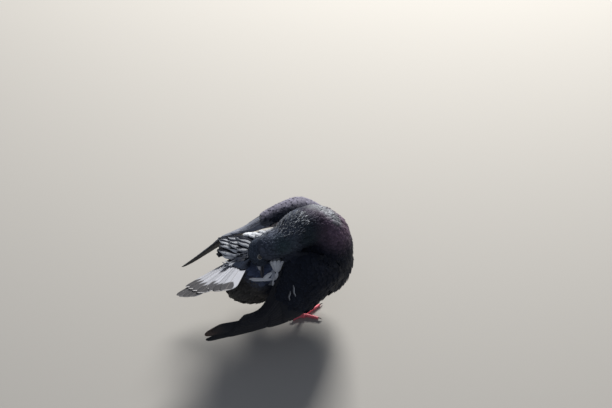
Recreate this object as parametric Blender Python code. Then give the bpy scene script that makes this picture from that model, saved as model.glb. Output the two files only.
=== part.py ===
"""A feral pigeon at life size, standing with its head turned back to preen its rump.

Metres, +Z up. +X is the way the breast points, +Y is the bird's left, the floor is Z = 0, and the origin
lies on it between the feet. Each sub-part is one closed solid, held clear of its neighbours by GAP.
"""

import math

import bmesh
import bpy
from mathutils import Vector

GAP = 0.0003                 # air left between two pieces that touch
FORWARD = Vector((1, 0, 0))
LEFT = Vector((0, 1, 0))
UP = Vector((0, 0, 1))

for old in list(bpy.data.objects):
    bpy.data.objects.remove(old, do_unlink=True)


# ---------------------------------------------------------------------------------------------- finishes

def finish(name, colour, roughness):
    """A plain Principled material in one colour."""
    made = bpy.data.materials.new(name)
    made.use_nodes = True
    shader = made.node_tree.nodes["Principled BSDF"]
    shader.inputs["Base Color"].default_value = (*colour, 1)
    shader.inputs["Roughness"].default_value = roughness
    shader.inputs["Metallic"].default_value = 0
    made.diffuse_color = (*colour, 1)
    return made


SLATE = finish("slate_plumage", (0.020, 0.024, 0.034), 0.75)
NECK_SHEEN = finish("neck_plumage", (0.030, 0.036, 0.050), 0.55)
FLIGHT = finish("flight_feathers", (0.028, 0.030, 0.040), 0.60)
TAIL_GREY = finish("tail_feathers", (0.42, 0.42, 0.46), 0.65)
RUMP_WHITE = finish("rump_plumage", (0.70, 0.72, 0.76), 0.80)
HORN = finish("bill_horn", (0.030, 0.028, 0.030), 0.40)
CERE_WHITE = finish("cere_skin", (0.62, 0.60, 0.58), 0.85)
IRIS = finish("eye_orange", (0.60, 0.16, 0.03), 0.10)
FOOT_SKIN = finish("foot_skin", (0.50, 0.10, 0.10), 0.55)
CLAW_HORN = finish("claw_horn", (0.035, 0.028, 0.026), 0.45)


# ------------------------------------------------------------------------------------------ shape helpers

def along(rows, share):
    """The row of numbers at a share, 0 to 1, of the smooth curve that passes through all the rows."""
    place = min(max(share, 0.0), 1.0) * (len(rows) - 1)
    first = min(int(place), len(rows) - 2)
    t = place - first
    before = rows[max(first - 1, 0)]
    start = rows[first]
    end = rows[first + 1]
    after = rows[min(first + 2, len(rows) - 1)]
    mixed = []
    for a, b, c, d in zip(before, start, end, after):
        mixed.append(b + 0.5 * t * (c - a + t * (2 * a - 5 * b + 4 * c - d + t * (3 * (b - c) + d - a))))
    return mixed


def add_solid(name, mesh, material):
    """Turns a bmesh into an object with outward faces and smooth shading."""
    bmesh.ops.recalc_face_normals(mesh, faces=mesh.faces)
    data = bpy.data.meshes.new(name)
    mesh.to_mesh(data)
    mesh.free()
    data.shade_smooth()
    data.set_sharp_from_angle(angle=math.radians(40))
    data.materials.append(material)
    made = bpy.data.objects.new(name, data)
    bpy.context.scene.collection.objects.link(made)
    return made


def loft(name, rows, material, rings, sides, side_hint=LEFT, start=0.0, end=1.0, grow=0.0, dome=0.35):
    """A closed round body along a path. A row is x, y, z, half width, rise and drop of its section.

    Rise is the section's reach on the side of (side_hint x path), drop is the other way. grow swells it.
    """
    mesh = bmesh.new()
    loops = []
    poles = []
    for ring in range(rings):
        share = start + (end - start) * ring / (rings - 1)
        row = along(rows, share)
        centre = Vector(row[:3])
        ahead = Vector(along(rows, share + 0.02)[:3]) - Vector(along(rows, share - 0.02)[:3])
        ahead.normalize()
        side = (side_hint - ahead * side_hint.dot(ahead)).normalized()
        top = side.cross(ahead)
        width, rise, drop = (value + grow for value in row[3:6])
        if ring in (0, rings - 1):
            outward = -ahead if ring == 0 else ahead
            centre += outward * grow
            poles.append(mesh.verts.new(centre + outward * dome * min(width, rise, drop)))
        loop = []
        for step in range(sides):
            angle = 2 * math.pi * step / sides
            height = math.sin(angle) * (rise if math.sin(angle) > 0 else drop)
            loop.append(mesh.verts.new(centre + side * width * math.cos(angle) + top * height))
        loops.append(loop)
    for first, second in zip(loops, loops[1:]):
        for step in range(sides):
            after = (step + 1) % sides
            mesh.faces.new((first[step], first[after], second[after], second[step]))
    for pole, loop in zip(poles, (loops[0], loops[-1])):
        for step in range(sides):
            mesh.faces.new((pole, loop[step], loop[(step + 1) % sides]))
    return add_solid(name, mesh, material)


def blade(name, surface, thickness, material, steps, grow=0.0):
    """A closed curved slab under surface(u, v), u and v 0 to 1. thickness(u, v) is measured inwards."""
    mesh = bmesh.new()
    small = 0.004            # step in u and v over which the surface's slope is taken
    count_u, count_v = steps
    outer = []
    inner = []
    for i in range(count_u + 1):
        outer_row = []
        inner_row = []
        for j in range(count_v + 1):
            u = i / count_u
            v = j / count_v
            run = surface(u + small, v) - surface(u - small, v)
            across = surface(u, v + small) - surface(u, v - small)
            normal = run.cross(across).normalized()
            spread = (run.normalized() * (2 * u - 1) + across.normalized() * (2 * v - 1)) * grow
            at = surface(u, v) + spread
            outer_row.append(mesh.verts.new(at + normal * grow))
            inner_row.append(mesh.verts.new(at - normal * (thickness(u, v) + grow)))
        outer.append(outer_row)
        inner.append(inner_row)
    for i in range(count_u):
        for j in range(count_v):
            mesh.faces.new((outer[i][j], outer[i + 1][j], outer[i + 1][j + 1], outer[i][j + 1]))
            mesh.faces.new((inner[i][j], inner[i][j + 1], inner[i + 1][j + 1], inner[i + 1][j]))
    for i in range(count_u):
        mesh.faces.new((outer[i][0], inner[i][0], inner[i + 1][0], outer[i + 1][0]))
        mesh.faces.new((outer[i][-1], outer[i + 1][-1], inner[i + 1][-1], inner[i][-1]))
    for j in range(count_v):
        mesh.faces.new((outer[0][j], outer[0][j + 1], inner[0][j + 1], inner[0][j]))
        mesh.faces.new((outer[-1][j], inner[-1][j], inner[-1][j + 1], outer[-1][j + 1]))
    return add_solid(name, mesh, material)


def largest_island(mesh):
    """Deletes every loose bit of the mesh but its largest."""
    islands = []
    unseen = set(mesh.verts)
    while unseen:
        island = set()
        waiting = [unseen.pop()]
        while waiting:
            vert = waiting.pop()
            island.add(vert)
            for edge in vert.link_edges:
                other = edge.other_vert(vert)
                if other in unseen:
                    unseen.remove(other)
                    waiting.append(other)
        islands.append(island)
    islands.sort(key=len)
    for island in islands[:-1]:
        bmesh.ops.delete(mesh, geom=list(island), context="VERTS")


def cut_by(piece, *cutters):
    """Takes the cutters' shapes out of the piece, and keeps its largest remaining body."""
    for cutter in cutters:
        cutter.hide_render = True
        cutter.display_type = "WIRE"
        cut = piece.modifiers.new("room for " + cutter.name, "BOOLEAN")
        cut.operation = "DIFFERENCE"
        cut.object = cutter
    bpy.context.view_layer.update()
    solid = piece.evaluated_get(bpy.context.evaluated_depsgraph_get())
    mesh = bmesh.new()
    mesh.from_mesh(solid.to_mesh())
    solid.to_mesh_clear()
    piece.modifiers.clear()
    bmesh.ops.remove_doubles(mesh, verts=mesh.verts, dist=0.00001)
    bmesh.ops.dissolve_degenerate(mesh, edges=mesh.edges, dist=0.000005)
    largest_island(mesh)
    bmesh.ops.triangulate(mesh, faces=[face for face in mesh.faces if len(face.verts) > 4])
    bmesh.ops.recalc_face_normals(mesh, faces=mesh.faces)
    mesh.to_mesh(piece.data)
    mesh.free()
    piece.data.shade_smooth()
    piece.data.set_sharp_from_angle(angle=math.radians(40))
    return piece


# --------------------------------------------------------------------------------- trunk: breast to vent

# Each row: x, y, z of the section's centre, half width, rise to the back, drop to the belly.
TRUNK = [
    (0.088, 0.000, 0.086, 0.016, 0.018, 0.016),
    (0.078, 0.000, 0.086, 0.030, 0.036, 0.031),
    (0.060, 0.000, 0.084, 0.044, 0.051, 0.041),
    (0.034, 0.000, 0.084, 0.053, 0.061, 0.048),
    (0.006, 0.000, 0.087, 0.056, 0.063, 0.051),
    (-0.020, -0.001, 0.090, 0.053, 0.058, 0.047),
    (-0.044, -0.003, 0.093, 0.046, 0.050, 0.044),
    (-0.066, -0.004, 0.097, 0.038, 0.037, 0.041),
    (-0.082, -0.007, 0.100, 0.027, 0.025, 0.033),
    (-0.091, -0.008, 0.102, 0.014, 0.013, 0.018),
]
trunk = loft("trunk", TRUNK, SLATE, rings=17, sides=22)
trunk_room = loft("trunk_room", TRUNK, SLATE, rings=17, sides=22, grow=1.5 * GAP)


# ------------------------------------------------------ neck: up from the breast and back over the trunk

NECK = [
    (0.050, 0.000, 0.090, 0.042, 0.0395, 0.036),
    (0.055, 0.003, 0.114, 0.039, 0.0370, 0.034),
    (0.051, 0.009, 0.140, 0.035, 0.0365, 0.031),
    (0.035, 0.0115, 0.159, 0.0305, 0.0345, 0.028),
    (0.011, -0.0002, 0.1685, 0.0268, 0.0295, 0.026),
    (-0.0135, -0.0155, 0.1675, 0.0215, 0.0213, 0.023),
    (-0.032, -0.0205, 0.164, 0.0200, 0.0215, 0.018),
    (-0.043, -0.0215, 0.160, 0.0165, 0.0185, 0.015),
]
NECK_JOIN = 0.52             # share of the neck's path where its two lengths meet
NECK_SEAM = 0.0012           # half the share left out at that join

neck_lower = loft("neck_lower", NECK, NECK_SHEEN, rings=9, sides=20, end=NECK_JOIN - NECK_SEAM, dome=0.0)
neck_upper = loft("neck_upper", NECK, NECK_SHEEN, rings=9, sides=20, start=NECK_JOIN + NECK_SEAM, dome=0.0)
neck_room = loft("neck_room", NECK, NECK_SHEEN, rings=18, sides=20, grow=2.5 * GAP)


# ------------------------------------------------------------------------- head, eyes and bill, one frame

HEAD_CENTRE = Vector((-0.0478, -0.0212, 0.1580))
BILL_WAY = Vector((-0.0696, -0.4951, -0.8662)).normalized()      # the way the bill points
CROWN_WAY = Vector((-0.969, -0.065, 0.237))                      # over the top of the skull
CROWN_WAY = (CROWN_WAY - BILL_WAY * CROWN_WAY.dot(BILL_WAY)).normalized()
CHEEK_WAY = CROWN_WAY.cross(BILL_WAY)                            # out of the left cheek


def in_head(forward, crown=0.0, left=0.0):
    """A place given in the head's own directions."""
    return HEAD_CENTRE + BILL_WAY * forward + CROWN_WAY * crown + CHEEK_WAY * left


def head_rows(rows):
    """Turns rows of (forward, crown offset, half width, rise, drop) into rows for loft."""
    return [(*in_head(forward, crown), width, rise, drop) for forward, crown, width, rise, drop in rows]


HEAD = head_rows([
    (-0.0190, 0.0000, 0.0055, 0.0065, 0.0060),
    (-0.0140, 0.0000, 0.0105, 0.0130, 0.0120),
    (-0.0060, 0.0000, 0.0134, 0.0168, 0.0152),
    (0.0030, 0.0000, 0.0135, 0.0173, 0.0155),
    (0.0100, -0.0005, 0.0122, 0.0158, 0.0138),
    (0.0160, -0.0015, 0.0094, 0.0122, 0.0106),
    (0.0210, -0.0022, 0.0066, 0.0080, 0.0076),
    (0.0245, -0.0026, 0.0046, 0.0048, 0.0054),
])
head = loft("head", HEAD, SLATE, rings=12, sides=18, side_hint=-CHEEK_WAY)
head_room = loft("head_room", HEAD, SLATE, rings=12, sides=18, side_hint=-CHEEK_WAY, grow=GAP)

EYE_RADIUS = 0.0055
EYE_FORWARD = 0.0046
EYE_CROWN = 0.0030
EYE_OUT = 0.0079             # from the head's middle to the eyeball's centre


def eyeball(name, sign, grow=0.0):
    """One eyeball, a faceted sphere."""
    mesh = bmesh.new()
    bmesh.ops.create_icosphere(mesh, subdivisions=2, radius=EYE_RADIUS + grow)
    bmesh.ops.translate(mesh, vec=in_head(EYE_FORWARD, EYE_CROWN, sign * EYE_OUT), verts=mesh.verts)
    return add_solid(name, mesh, IRIS)


for side_name, sign in (("left", 1), ("right", -1)):
    eyeball("eye_" + side_name, sign)
    cut_by(head, eyeball("eye_room_" + side_name, sign, GAP))

# The two halves of the bill, and the pale cere over the nostrils. The upper half hooks down at its tip.
BILL_UPPER = head_rows([
    (0.0190, -0.0012, 0.0036, 0.0026, 0.0014),
    (0.0270, -0.0016, 0.0029, 0.0023, 0.0012),
    (0.0345, -0.0021, 0.0021, 0.0019, 0.0011),
    (0.0395, -0.0028, 0.0016, 0.0017, 0.0012),
    (0.0425, -0.0041, 0.0009, 0.0012, 0.0010),
])
BILL_LOWER = head_rows([
    (0.0175, -0.0044, 0.0032, 0.0016, 0.0016),
    (0.0270, -0.0044, 0.0025, 0.0012, 0.0014),
    (0.0345, -0.0045, 0.0017, 0.0009, 0.0011),
    (0.0388, -0.0049, 0.0009, 0.0005, 0.0007),
])
CERE = head_rows([
    (0.0205, 0.0012, 0.0030, 0.0022, 0.0030),
    (0.0245, 0.0012, 0.0036, 0.0026, 0.0024),
    (0.0285, 0.0004, 0.0027, 0.0017, 0.0016),
    (0.0305, -0.0002, 0.0010, 0.0008, 0.0008),
])
bill_upper = loft("bill_upper", BILL_UPPER, HORN, rings=8, sides=12, side_hint=-CHEEK_WAY)
bill_upper_room = loft("bill_upper_room", BILL_UPPER, HORN, rings=8, sides=12, side_hint=-CHEEK_WAY,
                       grow=GAP)
bill_lower = loft("bill_lower", BILL_LOWER, HORN, rings=7, sides=12, side_hint=-CHEEK_WAY)
cere = loft("cere", CERE, CERE_WHITE, rings=6, sides=12, side_hint=-CHEEK_WAY)
cut_by(bill_upper, head_room)
cut_by(bill_lower, head_room, bill_upper_room)
cut_by(cere, head_room, bill_upper_room)
cut_by(neck_lower, trunk_room)
cut_by(neck_upper, trunk_room, head_room)


# ------------------------------------------------------ wings: each a curved slab, parted in three lengths

# Rows run from the shoulder and wrist back to the tip: the edge over the back, the crest, the lower edge.
RIGHT_WING = {
    "back": [
        (0.057, -0.029, 0.132), (0.020, -0.030, 0.154), (-0.008, -0.033, 0.150),
        (-0.028, -0.055, 0.116), (-0.054, -0.078, 0.0905), (-0.090, -0.0915, 0.0905),
        (-0.118, -0.0985, 0.0910), (-0.138, -0.1035, 0.0875),
    ],
    "crest": [
        (0.068, -0.040, 0.119), (0.026, -0.063, 0.128), (-0.001, -0.068, 0.120),
        (-0.024, -0.077, 0.0975), (-0.055, -0.090, 0.0845), (-0.091, -0.0995, 0.0840),
        (-0.118, -0.1040, 0.0820), (-0.140, -0.1070, 0.0805),
    ],
    "edge": [
        (0.072, -0.040, 0.098), (0.035, -0.067, 0.088), (0.008, -0.078, 0.0785),
        (-0.020, -0.087, 0.0750), (-0.056, -0.096, 0.0750), (-0.092, -0.103, 0.0742),
        (-0.118, -0.106, 0.0725), (-0.138, -0.1085, 0.0730),
    ],
}
LEFT_WING = {
    "back": [
        (0.056, 0.032, 0.139), (0.020, 0.037, 0.155), (-0.010, 0.040, 0.1465),
        (-0.032, 0.043, 0.1345), (-0.056, 0.046, 0.1215), (-0.099, 0.050, 0.1045),
        (-0.132, 0.040, 0.0865), (-0.161, 0.030, 0.0770),
    ],
    "crest": [
        (0.062, 0.048, 0.136), (0.026, 0.065, 0.150), (-0.006, 0.067, 0.1445),
        (-0.035, 0.065, 0.1295), (-0.064, 0.061, 0.1115), (-0.100, 0.056, 0.0965),
        (-0.132, 0.046, 0.0805), (-0.162, 0.031, 0.0745),
    ],
    "edge": [
        (0.070, 0.042, 0.104), (0.035, 0.069, 0.098), (0.005, 0.079, 0.092),
        (-0.025, 0.080, 0.087), (-0.058, 0.075, 0.0830), (-0.097, 0.062, 0.0770),
        (-0.131, 0.048, 0.0705), (-0.161, 0.0315, 0.0715),
    ],
}
SHOULDER_THICK = 0.009
FRONT_THIN = 0.14            # share of the wing over which the front edge swells to its full thickness
PRIMARY_THICK = 0.0016
WING_LENGTHS = (("coverts", 0.0, 0.44, 9), ("secondaries", 0.44, 0.72, 6), ("primaries", 0.72, 1.0, 6))
WING_SEAM = 0.0009           # half the share left out where two lengths of the wing meet
CREST_AT = 0.5


def wing_point(wing, share, across):
    """A place on the wing's outer face: across runs from the edge over the back to the lower edge."""
    back = Vector(along(wing["back"], share))
    crest = Vector(along(wing["crest"], share))
    edge = Vector(along(wing["edge"], share))
    bend = crest * 2 - (back + edge) * CREST_AT
    t = across
    return back * (1 - t) ** 2 + bend * 2 * t * (1 - t) + edge * t ** 2


def wing_thickness(share, across):
    """Thick at the shoulder and arm, thinning to the feathers' tips and to both edges."""
    body = SHOULDER_THICK * max(0.0, 1 - share / 0.72) ** 1.2
    body *= 0.35 + 0.65 * min(max(share, 0) / FRONT_THIN, 1)
    return PRIMARY_THICK + body * (0.35 + 0.65 * math.sin(math.pi * min(max(across, 0), 1)))


def wing_lengths(name, wing, turn):
    """The three lengths of one wing. turn flips the slab so that its thickness lies inside."""
    made = []
    for part, first, last, steps in WING_LENGTHS:
        start = first + (WING_SEAM if first > 0 else 0)
        end = last - (WING_SEAM if last < 1 else 0)

        def surface(u, v):
            return wing_point(wing, start + (end - start) * u, v if turn else 1 - v)

        def thickness(u, v):
            return wing_thickness(start + (end - start) * u, v)

        material = SLATE if part == "coverts" else FLIGHT
        made.append(blade(name + "_" + part, surface, thickness, material, (steps, 8)))
    return made


for side_name, wing, turn in (("right", RIGHT_WING, False), ("left", LEFT_WING, True)):
    for length in wing_lengths("wing_" + side_name, wing, turn):
        if "coverts" in length.name or "secondaries" in length.name:
            cut_by(length, trunk_room, neck_room)


# ------------------------------------------- tail: a half-spread fan, swung and rolled towards the bill

TAIL_ROOT = Vector((-0.0580, 0.0060, 0.1200))
TAIL_SWING = math.radians(38.7)          # from straight back towards the right
TAIL_LIFT = math.radians(10.0)           # above level
TAIL_ROLL = math.radians(36.0)           # right side raised
TAIL_LENGTH = 0.1285                     # from the root to the longest tips
TAIL_START = 0.014                       # where the solid fan begins, inside the coverts
FEATHER_TURNS = [math.radians(turn) for turn in (-13, 3.5, 18.5, 31)]   # the four stacks of feathers
FEATHER_HALF = math.radians(7.2)         # half the angle that one stack covers at its tip
FAN_LEFT = FEATHER_TURNS[0] - FEATHER_HALF
FAN_RIGHT = FEATHER_TURNS[-1] + FEATHER_HALF
TAIL_THICK = 0.0020
TIP_ROUNDING = 0.016                     # how far a feather's corner lies behind its tip
CROWN_OF_FAN = 0.055                     # drop of the fan's edges, as a share of the distance out

back_way = Vector((-math.cos(TAIL_SWING), -math.sin(TAIL_SWING), 0))
TAIL_WAY = back_way * math.cos(TAIL_LIFT) + UP * math.sin(TAIL_LIFT)
level_right = Vector((math.sin(TAIL_SWING), -math.cos(TAIL_SWING), 0))
upright = TAIL_WAY.cross(level_right)
TAIL_RIGHT = level_right * math.cos(TAIL_ROLL) + upright * math.sin(TAIL_ROLL)
TAIL_TOP = TAIL_WAY.cross(TAIL_RIGHT)


def fan_point(reach, turn):
    """A place on the fan's upper face, at a distance from the root and an angle from the middle."""
    droop = CROWN_OF_FAN * reach * (turn / FAN_RIGHT) ** 2
    level = TAIL_WAY * math.cos(turn) + TAIL_RIGHT * math.sin(turn)
    return TAIL_ROOT + level * reach - TAIL_TOP * droop


def tail_reach(turn):
    """Distance from the root to the outline of the tips at that angle."""
    off = min(abs(turn - middle) for middle in FEATHER_TURNS) / FEATHER_HALF
    return TAIL_LENGTH - TIP_ROUNDING * min(off, 1.15) ** 3


LEFT_SPLIT = (FEATHER_TURNS[0] + FEATHER_TURNS[1]) / 2
RIGHT_SPLIT = (FEATHER_TURNS[2] + FEATHER_TURNS[3]) / 2
TAIL_PARTS = (
    ("tail_left", FAN_LEFT, LEFT_SPLIT, 10),
    ("tail_middle", LEFT_SPLIT, RIGHT_SPLIT, 18),
    ("tail_right", RIGHT_SPLIT, FAN_RIGHT, 10),
)
TAIL_SEAM = 0.0015                       # half the angle left out between two parts
for name, first, last, steps in TAIL_PARTS:
    start = first + (TAIL_SEAM if first > FAN_LEFT else 0)
    end = last - (TAIL_SEAM if last < FAN_RIGHT else 0)

    def fan_surface(u, v):
        turn = start + (end - start) * v
        return fan_point(TAIL_START + (tail_reach(turn) - TAIL_START) * u, turn)

    part = blade(name, fan_surface, lambda u, v: TAIL_THICK, TAIL_GREY, (6, steps))
    cut_by(part, trunk_room)


def whole_fan(u, v):
    """The fan in one sheet, a little wider than its parts, for the room that it takes."""
    turn = FAN_LEFT - 0.01 + (FAN_RIGHT - FAN_LEFT + 0.02) * v
    return fan_point(0.004 + (TAIL_LENGTH - 0.004) * u, turn)


fan_room = blade("fan_room", whole_fan, lambda u, v: TAIL_THICK, TAIL_GREY, (6, 14), grow=GAP)


def tail_rows(rows):
    """Turns rows of (along the tail, to its right, above it, half width, rise, drop) into rows for loft."""
    placed = []
    for reach, right, above, width, rise, drop in rows:
        centre = TAIL_ROOT + TAIL_WAY * reach + TAIL_RIGHT * right + TAIL_TOP * above
        placed.append((*centre, width, rise, drop))
    return placed


UPPER_COVERTS = tail_rows([
    (-0.030, 0.000, -0.004, 0.020, 0.012, 0.012),
    (-0.005, 0.001, -0.002, 0.024, 0.013, 0.012),
    (0.020, 0.003, 0.000, 0.020, 0.008, 0.008),
    (0.045, 0.007, 0.0005, 0.014, 0.0030, 0.004),
])
# From the vent back and to the right under the fan: x, y, z, half width, rise, drop.
LOWER_COVERTS = [
    (-0.042, -0.006, 0.080, 0.034, 0.034, 0.036),
    (-0.060, -0.014, 0.077, 0.034, 0.032, 0.033),
    (-0.076, -0.025, 0.083, 0.026, 0.026, 0.024),
    (-0.087, -0.037, 0.097, 0.014, 0.016, 0.014),
    (-0.094, -0.047, 0.110, 0.006, 0.008, 0.007),
]
# The long ruffled feathers of the lower back, between the trunk and the left wing, in world directions.
RUMP_FEATHERS = [
    (-0.020, 0.022, 0.122, 0.016, 0.012, 0.010),
    (-0.042, 0.023, 0.123, 0.019, 0.012, 0.010),
    (-0.068, 0.021, 0.122, 0.019, 0.009, 0.008),
    (-0.090, 0.017, 0.121, 0.015, 0.006, 0.006),
    (-0.103, 0.013, 0.120, 0.008, 0.003, 0.003),
]
coverts_upper = loft("tail_coverts_upper", UPPER_COVERTS, RUMP_WHITE, rings=8, sides=14,
                     side_hint=-TAIL_RIGHT)
coverts_lower = loft("tail_coverts_lower", LOWER_COVERTS, SLATE, rings=9, sides=16)
coverts_room = loft("coverts_room", UPPER_COVERTS, RUMP_WHITE, rings=8, sides=14, side_hint=-TAIL_RIGHT,
                    grow=GAP)
cut_by(coverts_upper, fan_room, trunk_room)
cut_by(coverts_lower, fan_room, trunk_room, coverts_room)
rump_feathers = loft("rump_feathers", RUMP_FEATHERS, RUMP_WHITE, rings=8, sides=14)
cut_by(rump_feathers, fan_room, trunk_room, coverts_room, neck_room)


# ------------------------------------------------------------- legs: feathered thigh, shank, toes, claws

FEET = {"right": Vector((0.0138, -0.0300, 0)), "left": Vector((-0.0138, 0.0225, 0))}
FOOT_TURN = {"right": math.radians(22), "left": math.radians(20)}
HOCK = {"right": Vector((-0.0100, -0.0310, 0.0310)), "left": Vector((-0.0370, 0.0240, 0.0330))}
THIGH_TOP = {"right": Vector((0.0080, -0.0270, 0.0700)), "left": Vector((-0.0170, 0.0260, 0.0720))}
SHANK_RADIUS = 0.0026
SHANK_FOOT = 0.0060          # height of the shank's lower end
PAD_RADIUS = 0.0052
# Each toe: its turn from the foot's heading, its length, and its radius at the root and at the tip.
TOES = {
    "middle": (math.radians(6), 0.0290, 0.0029, 0.0020),
    "inner": (math.radians(44), 0.0215, 0.0027, 0.0019),
    "outer": (math.radians(-46), 0.0220, 0.0026, 0.0019),
    "hind": (math.radians(180), 0.0165, 0.0026, 0.0018),
}
JOINTS = {"inner": 2, "middle": 3, "outer": 3, "hind": 1}
KNUCKLE = 0.12               # swelling of a toe at its joints, as a share of its radius
CLAW_LENGTH = 0.0065
CLAW_SUNK = 0.0008           # how far the claw's root sits back in the toe
# Along the claw: share of its length, height of its middle and its size, both as shares of the toe's tip.
CLAW_STEPS = ((0.0, 1.30, 1.0), (0.35, 1.55, 0.78), (0.70, 1.25, 0.50), (1.0, 0.55, 0.22))
CLAW_WIDE = 0.62
CLAW_DEEP = 0.80
TOE_FLAT = 0.0006            # depth that the flat under each toe takes off the round


def flatten_sole(piece):
    """Brings all that lies below the floor up to it, which leaves a small flat underneath."""
    for vert in piece.data.vertices:
        vert.co.z = max(vert.co.z, 0.0)
    return piece


def toe_rows(root, way, length, radius, tip, knuckles):
    """Rows of a toe that lies on the floor."""
    rows = []
    count = 2 * knuckles + 3
    for step in range(count):
        share = step / (count - 1)
        swell = 1 + KNUCKLE * (-1) ** step
        size = (radius + (tip - radius) * share) * swell
        centre = root + way * length * share + UP * (size - TOE_FLAT)
        rows.append((*centre, size, size, size))
    return rows


for side_name, root in FEET.items():
    hock = HOCK[side_name]
    heel = root + UP * SHANK_FOOT
    thigh_top = THIGH_TOP[side_name]
    thigh_rows = [
        (*thigh_top, 0.0170, 0.0200, 0.0180),
        (*thigh_top.lerp(hock, 0.45), 0.0145, 0.0165, 0.0150),
        (*thigh_top.lerp(hock, 0.80), 0.0085, 0.0095, 0.0090),
        (*thigh_top.lerp(hock, 0.97), 0.0045, 0.0050, 0.0048),
    ]
    thigh = loft("thigh_" + side_name, thigh_rows, SLATE, rings=8, sides=14)
    cut_by(thigh, trunk_room)
    thigh_room = loft("thigh_room_" + side_name, thigh_rows, SLATE, rings=8, sides=14, grow=GAP)
    bend = hock.lerp(heel, 0.5) + FORWARD * 0.0008
    shank_rows = [
        (*hock.lerp(thigh_top, 0.06), *[SHANK_RADIUS * 1.30] * 3),
        (*hock.lerp(heel, 0.25), *[SHANK_RADIUS * 1.02] * 3),
        (*bend, *[SHANK_RADIUS * 0.95] * 3),
        (*heel, *[SHANK_RADIUS * 1.18] * 3),
    ]
    shank = loft("shank_" + side_name, shank_rows, FOOT_SKIN, rings=7, sides=10)
    pad_rows = [(*(root + UP * height), width, width, width) for height, width in
                ((-0.0006, PAD_RADIUS * 0.80), (0.0018, PAD_RADIUS), (0.0042, PAD_RADIUS * 0.80),
                 (0.0056, PAD_RADIUS * 0.45))]
    pad = flatten_sole(loft("foot_" + side_name, pad_rows, FOOT_SKIN, rings=6, sides=12))
    pad_room = loft("foot_room_" + side_name, [(*row[:3], *[size + GAP for size in row[3:]]) for row in
                    [(pad_rows[0][0], pad_rows[0][1], -0.0030, *pad_rows[0][3:])] + pad_rows],
                    FOOT_SKIN, rings=8, sides=12)
    cut_by(shank, thigh_room, pad_room)
    heading = FOOT_TURN[side_name]
    outward = -1 if side_name == "right" else 1
    rooms = [pad_room]
    for toe_name, (turn, length, radius, tip) in TOES.items():
        angle = heading - outward * turn
        way = Vector((math.cos(angle), math.sin(angle), 0))
        label = toe_name + "_" + side_name
        start = root + way * (PAD_RADIUS * 0.35)
        toe = loft("toe_" + label, toe_rows(start, way, length, radius, tip, JOINTS[toe_name]), FOOT_SKIN,
                   rings=2 * JOINTS[toe_name] + 3, sides=8)
        cut_by(flatten_sole(toe), *rooms)
        end = start + way * length
        claw_rows = []
        for share, height, size in CLAW_STEPS:
            at = end + way * (CLAW_LENGTH * share - CLAW_SUNK) + UP * tip * height
            claw_rows.append((*at, tip * size * CLAW_WIDE, tip * size * CLAW_DEEP, tip * size * CLAW_DEEP))
        claw = loft("claw_" + label, claw_rows, CLAW_HORN, rings=5, sides=6)
        toe_room = loft("toe_room_" + label, toe_rows(start, way, length, radius, tip, JOINTS[toe_name]),
                        FOOT_SKIN, rings=2 * JOINTS[toe_name] + 3, sides=8, grow=GAP)
        rooms.append(toe_room)
        cut_by(flatten_sole(claw), toe_room)
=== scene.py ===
"""A feral pigeon at life size, standing and preening its rump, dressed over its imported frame."""
import math

import bmesh
import bpy
import numpy as np
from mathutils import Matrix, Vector
from mathutils.bvhtree import BVHTree


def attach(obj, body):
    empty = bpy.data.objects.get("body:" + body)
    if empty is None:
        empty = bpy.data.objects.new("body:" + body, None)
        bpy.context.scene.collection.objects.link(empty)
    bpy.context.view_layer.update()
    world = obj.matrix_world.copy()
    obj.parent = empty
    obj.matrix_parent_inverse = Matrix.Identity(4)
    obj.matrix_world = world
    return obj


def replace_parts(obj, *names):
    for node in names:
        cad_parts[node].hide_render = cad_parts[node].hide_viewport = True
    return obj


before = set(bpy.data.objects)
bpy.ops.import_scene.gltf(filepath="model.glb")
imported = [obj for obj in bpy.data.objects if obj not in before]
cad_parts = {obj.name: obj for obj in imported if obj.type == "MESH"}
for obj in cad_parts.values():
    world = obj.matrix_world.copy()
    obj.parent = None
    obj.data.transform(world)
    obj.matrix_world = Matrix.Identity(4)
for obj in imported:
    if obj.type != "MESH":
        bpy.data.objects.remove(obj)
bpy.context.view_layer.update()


# --------------------------------------------------------------------------- floor, light and camera
# A plain pale floor under the bird. One broad lamp stands on the bird's left, a little before it and
# 30 degrees up, with a weak fill opposite. The camera looks down on the bird's right side.

def unit(vector):
    """The vector at length 1; rows of vectors work too."""
    vector = np.asarray(vector, float)
    return vector / np.maximum(np.linalg.norm(vector, axis=-1, keepdims=True), 1e-12)


scene = bpy.context.scene
CAMERA_AZIMUTH = math.radians(-8)
CAMERA_HEIGHT = math.radians(50)
CAMERA_AIM = Vector((0.0372, 0.1085, 0.0946))
CAMERA_DISTANCE = 2.28
CAMERA_LENS = 88.0                      # mm
CAMERA_SENSOR = 36.0                    # mm
FLOOR_HALF = 6.0
FLOOR_SINK = 0.0002                     # keeps the floor just under the soles
KEY_FROM = Vector((0.29, 0.81, 0.50))   # the way to the main lamp
KEY_DISTANCE = 2.6
KEY_SIZE = 0.9
KEY_WATTS = 135
KEY_WARM = (1.0, 0.97, 0.92)
FILL_FROM = Vector((-0.45, -0.60, 0.66))
FILL_DISTANCE = 2.4
FILL_SIZE = 1.6
FILL_WATTS = 2
FILL_COOL = (0.92, 0.96, 1.0)
LAMPS_AIM = Vector((-0.03, 0, 0.1))
SKY = (0.80, 0.86, 1.0, 1)
SKY_STRENGTH = 0.20

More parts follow.
